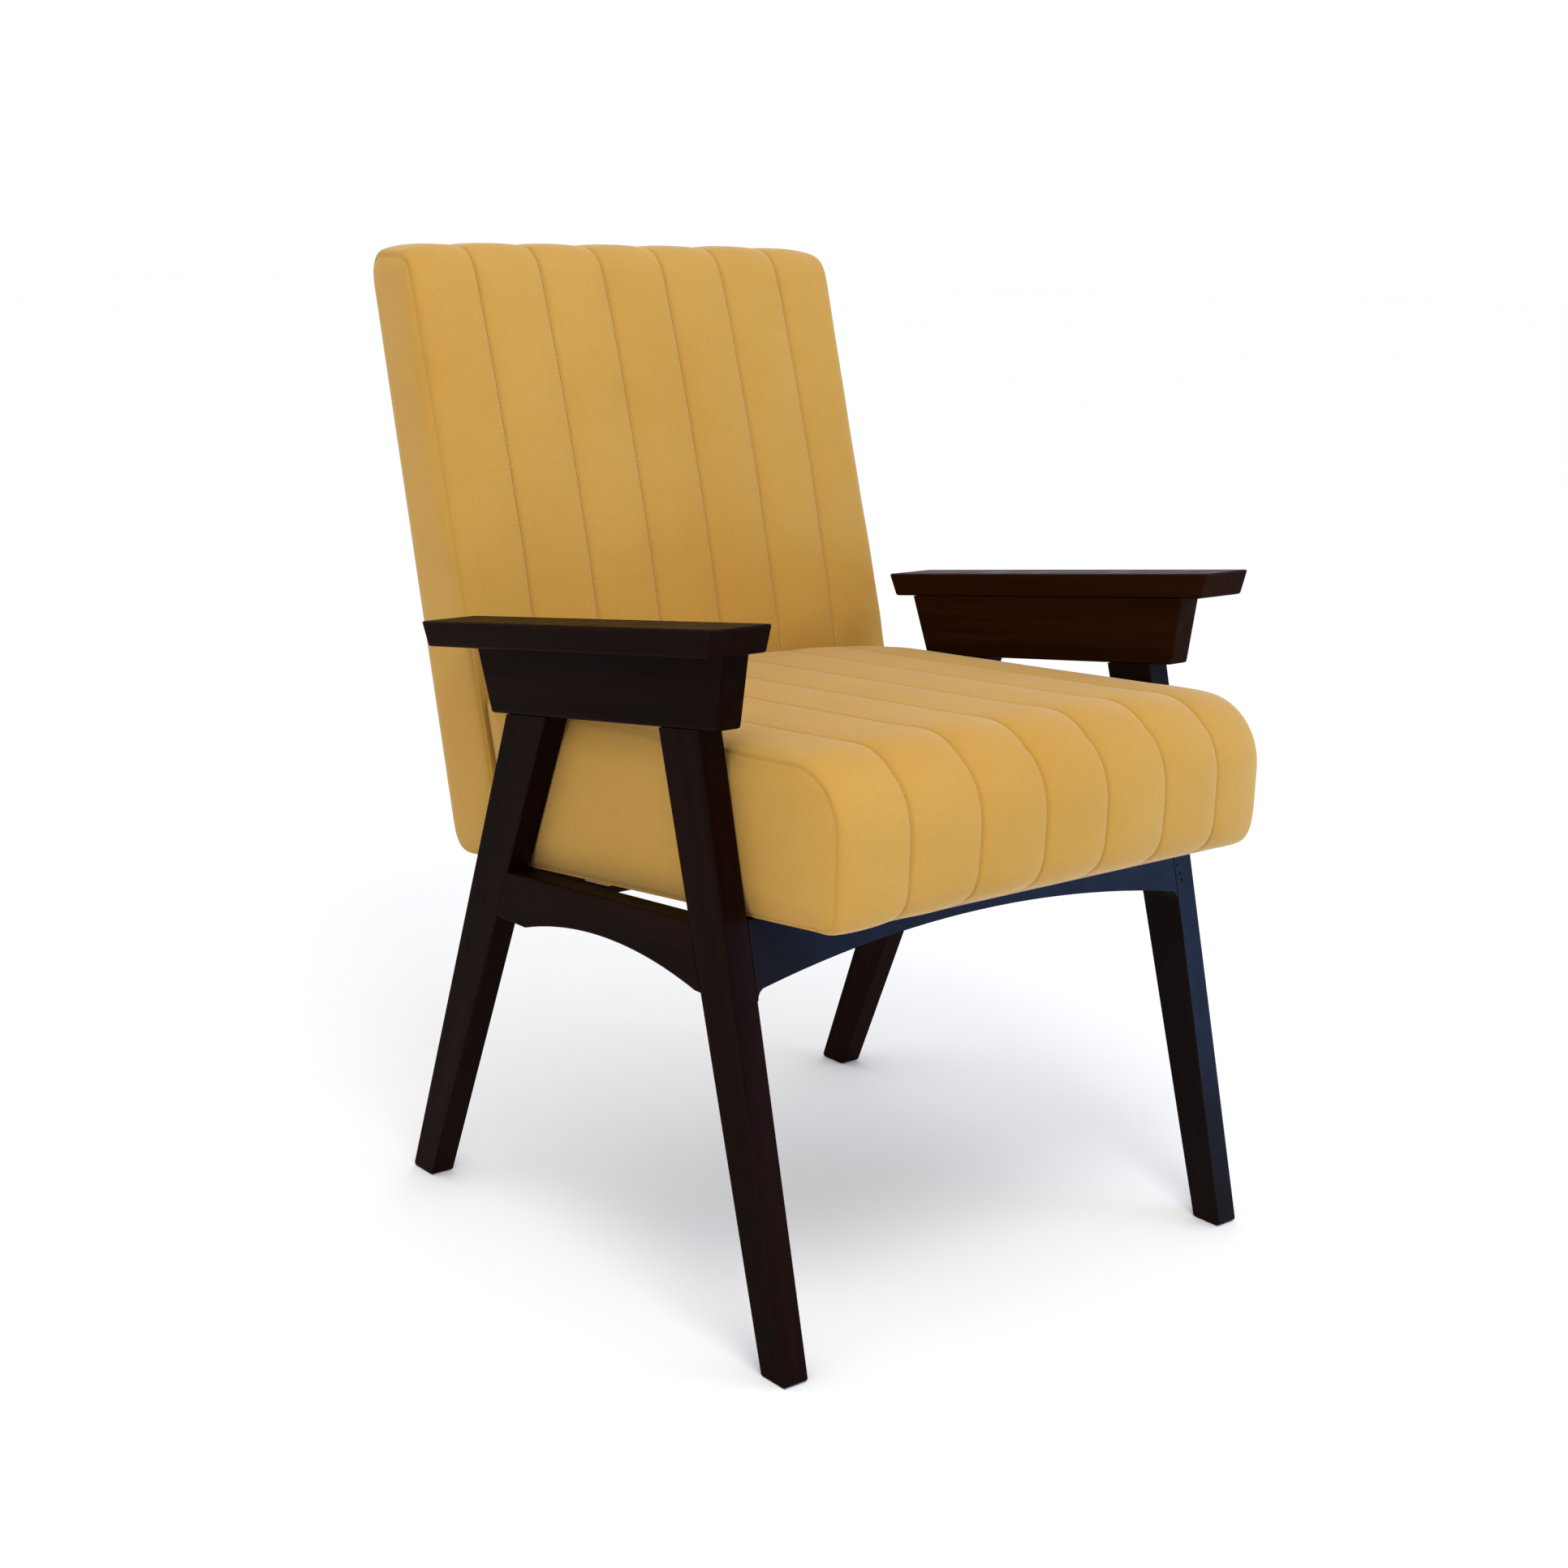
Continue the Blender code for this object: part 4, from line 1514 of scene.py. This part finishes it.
@dataclass
class RearCover:
    """The velvet-covered rear panel of the back, softly padded, in its rebate."""

    rear: Edge
    cells: tuple[int, int, int] = (48, 2, 48)
    swell: float = 0.0024          # how far the middle stands out
    fullness: float = 0.45         # below 1 the cover is steep at its edges and flat between
    edge_drop: float = 0.0012      # how far the edges are drawn in
    edge_width: float = 0.006
    ripple: float = 0.0004         # height of the padding's unevenness
    ripple_scale: float = 9.0
    seed: float = 5.0

    def build(self) -> bpy.types.Object:
        """Makes the cover.

        Returns:
            The piece, without its material.
        """
        up, out = self.rear.up, self.rear.back
        points = node_points("back_cover")
        half = max(point.x for point in points)
        foot, head = (pick(point.dot(up) for point in points) for pick in (min, max))
        face = max(point.dot(out) for point in points)
        mesh = box_grid("rear_cover", self.cells)
        box = read_points(mesh)
        x = (box[:, 0] * 2 - 1) * half
        rise = foot + box[:, 2] * (head - foot)
        from_edge = np.minimum.reduce((half - np.abs(x), rise - foot, head - rise))
        across, high = box[:, 0], box[:, 2]
        pillow = (16 * across * (1 - across) * high * (1 - high)) ** self.fullness
        outer = self.swell * pillow \
            - self.edge_drop * np.exp(-(from_edge / self.edge_width) ** 2)
        level = face - COVER * (1 - box[:, 1]) + outer * box[:, 1]
        place = np.outer(x, (1, 0, 0)) + np.outer(rise, up) + np.outer(level, out)
        uneven = drift(place, self.ripple_scale, self.seed) * box[:, 1] * pillow
        write_points(mesh, place + self.ripple * np.outer(uneven, out))
        return add_object("rear_cover", mesh)


@dataclass
class Staples:
    """The wire staples that hold the dust cover to the seat panel."""

    length: float = 0.0100
    width: float = 0.0008
    thickness: float = 0.0006
    pitch: float = 0.032
    inset: float = 0.006           # from the dust cover's edge
    corner: float = 0.034          # from the last staple of a row to the corner
    rounding: float = 0.00018

    def rows(self) -> list[tuple[float, float, bool]]:
        """Where the staples go.

        Returns:
            The x and y of each, and whether it lies across the seat.
        """
        low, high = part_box("dust_cover")
        x, front, rear = high[0] - self.inset, low[1] + self.inset, high[1] - self.inset
        beside = spread_out(front + self.corner, rear - self.corner, self.pitch)
        across = spread_out(-x + self.corner, x - self.corner, self.pitch)
        return [(side, y, False) for side in (-x, x) for y in beside] \
            + [(place, y, True) for y in (front, rear) for place in across]

    def build(self, under: Edge) -> bpy.types.Object:
        """Makes the staples along the four sides of the dust cover.

        Args:
            under: the underside of the seat.

        Returns:
            The piece, without its material.
        """
        back, up = under.back, under.up
        floor = min(point.dot(up) for point in node_points("dust_cover"))
        size = Matrix.Diagonal((self.length, self.width, self.thickness, 1))
        shape = bmesh.new()
        for x, y, across in self.rows():
            along = Vector((1, 0, 0)) if across else back
            middle = Vector((x, 0, 0)) + back * (y / back.y)
            middle += up * (floor - self.thickness / 2 - middle.dot(up))
            turn = Matrix((along, up.cross(along), up)).transposed().to_4x4()
            bmesh.ops.create_cube(shape, size=1.0,
                                  matrix=Matrix.Translation(middle) @ turn @ size)
        bmesh.ops.bevel(shape, geom=shape.edges[:], offset=self.rounding, segments=1,
                        profile=0.5, affect="EDGES", material=-1)
        return add_object("dust_cover_staples", make_mesh("dust_cover_staples", shape))


def spread_out(low: float, high: float, pitch: float) -> list[float]:
    """Even places from low to high, about a pitch apart.

    Args:
        low: the first.
        high: the last.
        pitch: the distance aimed at.

    Returns:
        The places.
    """
    count = max(1, round((high - low) / pitch))
    return [low + (high - low) * step / count for step in range(count + 1)]


@dataclass
class FilledPins:
    """Three filled pin holes where the front rail meets the left front leg."""

    leg_front: Edge
    places: tuple[tuple[float, float], ...] = (   # the x and z of each
        (0.2680, 0.3490), (0.2700, 0.3406), (0.2712, 0.3341))
    radius: float = 0.0014
    taper: float = 0.8             # the outer face's share of the radius
    proud: float = 0.00015

    def build(self) -> bpy.types.Object:
        """Makes the three plugs of filler.

        Returns:
            The piece, without its material.
        """
        shape = bmesh.new()
        out = -self.leg_front.back
        for x, z in self.places:
            centre = Vector((x, self.leg_front.at + z * self.leg_front.rise, z))
            turn = out.to_track_quat("Z", "Y").to_matrix().to_4x4()
            bmesh.ops.create_cone(shape, cap_ends=True, segments=14, radius1=self.radius,
                                  radius2=self.radius * self.taper, depth=2 * self.proud,
                                  matrix=Matrix.Translation(centre) @ turn)
        return add_object("filled_pins", make_mesh("filled_pins", shape))


# ---------------------------------------------------------------------------
# The studio
# ---------------------------------------------------------------------------

@dataclass(frozen=True)
class Lamp:
    """A soft rectangular lamp, out of the camera's sight."""

    name: str
    place: tuple[float, float, float]
    size: tuple[float, float]
    power: float
    colour: Colour

    def light(self, aim: Sequence[float]) -> None:
        """Puts the lamp up.

        Args:
            aim: the point that it faces.
        """
        data = bpy.data.lights.new(self.name, "AREA")
        data.shape, (data.size, data.size_y) = "RECTANGLE", self.size
        data.energy, data.color = self.power, self.colour
        lamp = bpy.data.objects.new(self.name, data)
        facing = (Vector(self.place) - Vector(aim)).to_track_quat("Z", "Y")
        lamp.matrix_world = Matrix.Translation(self.place) @ facing.to_matrix().to_4x4()
        lamp.visible_camera = False
        bpy.context.collection.objects.link(lamp)


@dataclass
class Studio:
    """A pale floor, soft lights and the camera."""

    floor_size: float = 40.0
    floor_drop: float = 0.0004     # under the feet
    floor_colour: Colour = (0.97, 0.97, 0.97)
    floor_shade: float = 0.985
    sky: Colour = (0.97, 0.98, 1.0)
    sky_strength: float = 1.06
    eye: tuple[float, float, float] = (-1.43929, -1.70804, 0.94894)
    azimuth: float = -39.660
    elevation: float = 13.481
    roll: float = 1.278
    lens: float = 53.792
    shift: tuple[float, float] = (-0.000335, 0.001383)
    middle: tuple[float, float, float] = (0.0, 0.0, 0.45)
    lamps: tuple[Lamp, ...] = (
        Lamp("key", (-0.7, -1.3, 2.3), (0.9, 0.8), 21.0, (1.0, 0.95, 0.88)),
        Lamp("front_strip", (2.3, -2.5, 0.40), (1.2, 0.7), 52.0, (0.16, 0.38, 0.92)))

    def floor(self) -> bpy.types.Object:
        """The floor, just under the feet.

        Returns:
            The floor.
        """
        shape = bmesh.new()
        bmesh.ops.create_circle(shape, cap_ends=True, segments=96, radius=self.floor_size)
        mesh = make_mesh("floor", shape)
        bench = Bench("floor_paint")
        mottle = bench.cloud(bench.place(), 3.0, 2.0)
        tone = tuple(c * self.floor_shade for c in self.floor_colour)
        finish = bench.dress(Base_Color=bench.mix(mottle, tone, self.floor_colour),
                             Roughness=0.9, Specular_IOR_Level=0.1)
        floor = add_object("floor", mesh, finish)
        mesh.transform(Matrix.Translation((0, 0, -self.floor_drop)))
        return floor

    def camera(self) -> bpy.types.Object:
        """The camera.

        Returns:
            The camera.
        """
        turn, tip, roll = (math.radians(a) for a in (self.azimuth, self.elevation, self.roll))
        back = Vector((math.sin(turn) * math.cos(tip), -math.cos(turn) * math.cos(tip),
                       math.sin(tip)))
        right = (-back).cross(Vector((0, 0, 1))).normalized()
        up = right.cross(-back)
        side = right * math.cos(roll) + up * math.sin(roll)
        top = up * math.cos(roll) - right * math.sin(roll)
        data = bpy.data.cameras.new("camera")
        data.sensor_width, data.lens, data.clip_end = 36.0, self.lens, 100.0
        data.shift_x, data.shift_y = self.shift
        camera = bpy.data.objects.new("camera", data)
        camera.matrix_world = Matrix.Translation(self.eye) @ Matrix(
            (side, top, back)).transposed().to_4x4()
        bpy.context.collection.objects.link(camera)
        bpy.context.scene.camera = camera
        return camera

    def build(self) -> None:
        """Puts up the floor, the lights, the sky and the camera."""
        self.floor()
        self.camera()
        for lamp in self.lamps:
            lamp.light(self.middle)
        world = bpy.data.worlds.new("sky")
        bpy.context.scene.world = world
        world.use_nodes = True
        background = world.node_tree.nodes["Background"]
        background.inputs["Color"].default_value = (*self.sky, 1.0)
        background.inputs["Strength"].default_value = self.sky_strength
        bpy.context.scene.view_settings.view_transform = "Standard"


# ---------------------------------------------------------------------------
# Assembly
# ---------------------------------------------------------------------------

SEAT_BOTTOM = Edge(0.3593, 5.51)
SEAT_TOP = Edge(0.5110, 2.98)
BACK_FRONT = Edge(0.0257, 16.49)
BACK_REAR = Edge(0.1292, 14.86)
CREASE = 0.0015                    # room between the seat pad and the back pad
BACK_LIFT = 0.0016                 # of the back pad's bottom over the line of the seat's
LEG_FRONT = Edge(-0.3387, 13.82)


def hand_in(piece: bpy.types.Object, finish: bpy.types.Material,
            replaced: Sequence[str] = ()) -> None:
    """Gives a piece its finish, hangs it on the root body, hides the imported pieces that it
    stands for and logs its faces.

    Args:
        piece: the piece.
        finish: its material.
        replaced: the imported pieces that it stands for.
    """
    piece.data.materials.append(finish)
    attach(piece, "root")
    if replaced:
        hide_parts(*replaced)
    LOG.info("%s: %d faces", piece.name, len(piece.data.polygons))


def make_seat(velvet: bpy.types.Material, thread: bpy.types.Material) -> None:
    """Makes the seat pad and its stitching.

    Args:
        velvet: the cover's finish.
        thread: the stitches' finish.
    """
    pad = SeatPad(
        name="seat_pad", nodes=("seat_cushion",), half=0.2580, pitch=0.0753,
        front=Edge(-0.3500, 0.0), rear=Edge(BACK_FRONT.at - CREASE, BACK_FRONT.degrees),
        bottom=SEAT_BOTTOM, top=SEAT_TOP, depth=0.515, height=0.138,
        radii=(0.015, 0.006, 0.058, 0.010), softer=(0.020, 0.0, 0.012, 0.0),
        crown_power=3.4, cells=(12, 64, 22), top_crown=0.011, front_crown=0.012,
        puff=0.0046, fullness=0.58, left_soft=0.40, seed=3.1)
    piece = pad.build()
    stitches = Stitching("seat_stitching").build(
        pad, piece.data, lambda route: np.ones(len(route), dtype=bool))
    hand_in(piece, velvet, pad.nodes)
    hand_in(stitches, thread)


def make_back(velvet: bpy.types.Material, thread: bpy.types.Material) -> None:
    """Makes the back pad, its stitching and the rear cover.

    Args:
        velvet: the cover's finish.
        thread: the stitches' finish.
    """
    pad = BackPad(
        name="back_pad", nodes=("back_cushion",), half=0.2620, pitch=0.0755,
        front=BACK_FRONT, rear=BACK_REAR,
        bottom=Edge(SEAT_BOTTOM.at + BACK_LIFT, SEAT_BOTTOM.degrees), top=Edge(0.9140, 0.0),
        depth=0.090, height=0.585,
        radii=(0.006, 0.022, 0.020, 0.030), softer=(0.0, 0.0, 0.004, 0.0),
        crown_power=8.0, cells=(12, 16, 72), top_crown=0.006, seed=7.7, puff=0.0044,
        fullness=0.44, cloth_travel=0.0012)
    piece = pad.build()
    stitches = Stitching("back_stitching").build(
        pad, piece.data, lambda route: route[:, 2] > pad.crease)
    hand_in(piece, velvet, pad.nodes)
    hand_in(stitches, thread)
    hand_in(RearCover(BACK_REAR).build(), velvet, ("back_cover",))


def main() -> None:
    """Builds the looks in order."""
    logging.basicConfig(level=logging.INFO, format=LOG_FORMAT, force=True)
    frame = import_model()
    Studio().build()
    count = Woodwork(frame["nodes"]).dress()
    LOG.info("woodwork: %d packed pieces dressed", count)
    velvet = Velvet().material("velvet_cover")
    make_seat(velvet, Thread().material("seat_thread"))
    make_back(velvet, BACK_THREAD.material("back_thread"))
    hand_in(Staples().build(SEAT_BOTTOM), Steel().material("staple_wire"))
    hand_in(FilledPins(LEG_FRONT).build(), Filler().material("pin_filler"))


if __name__ == "__main__":
    main()
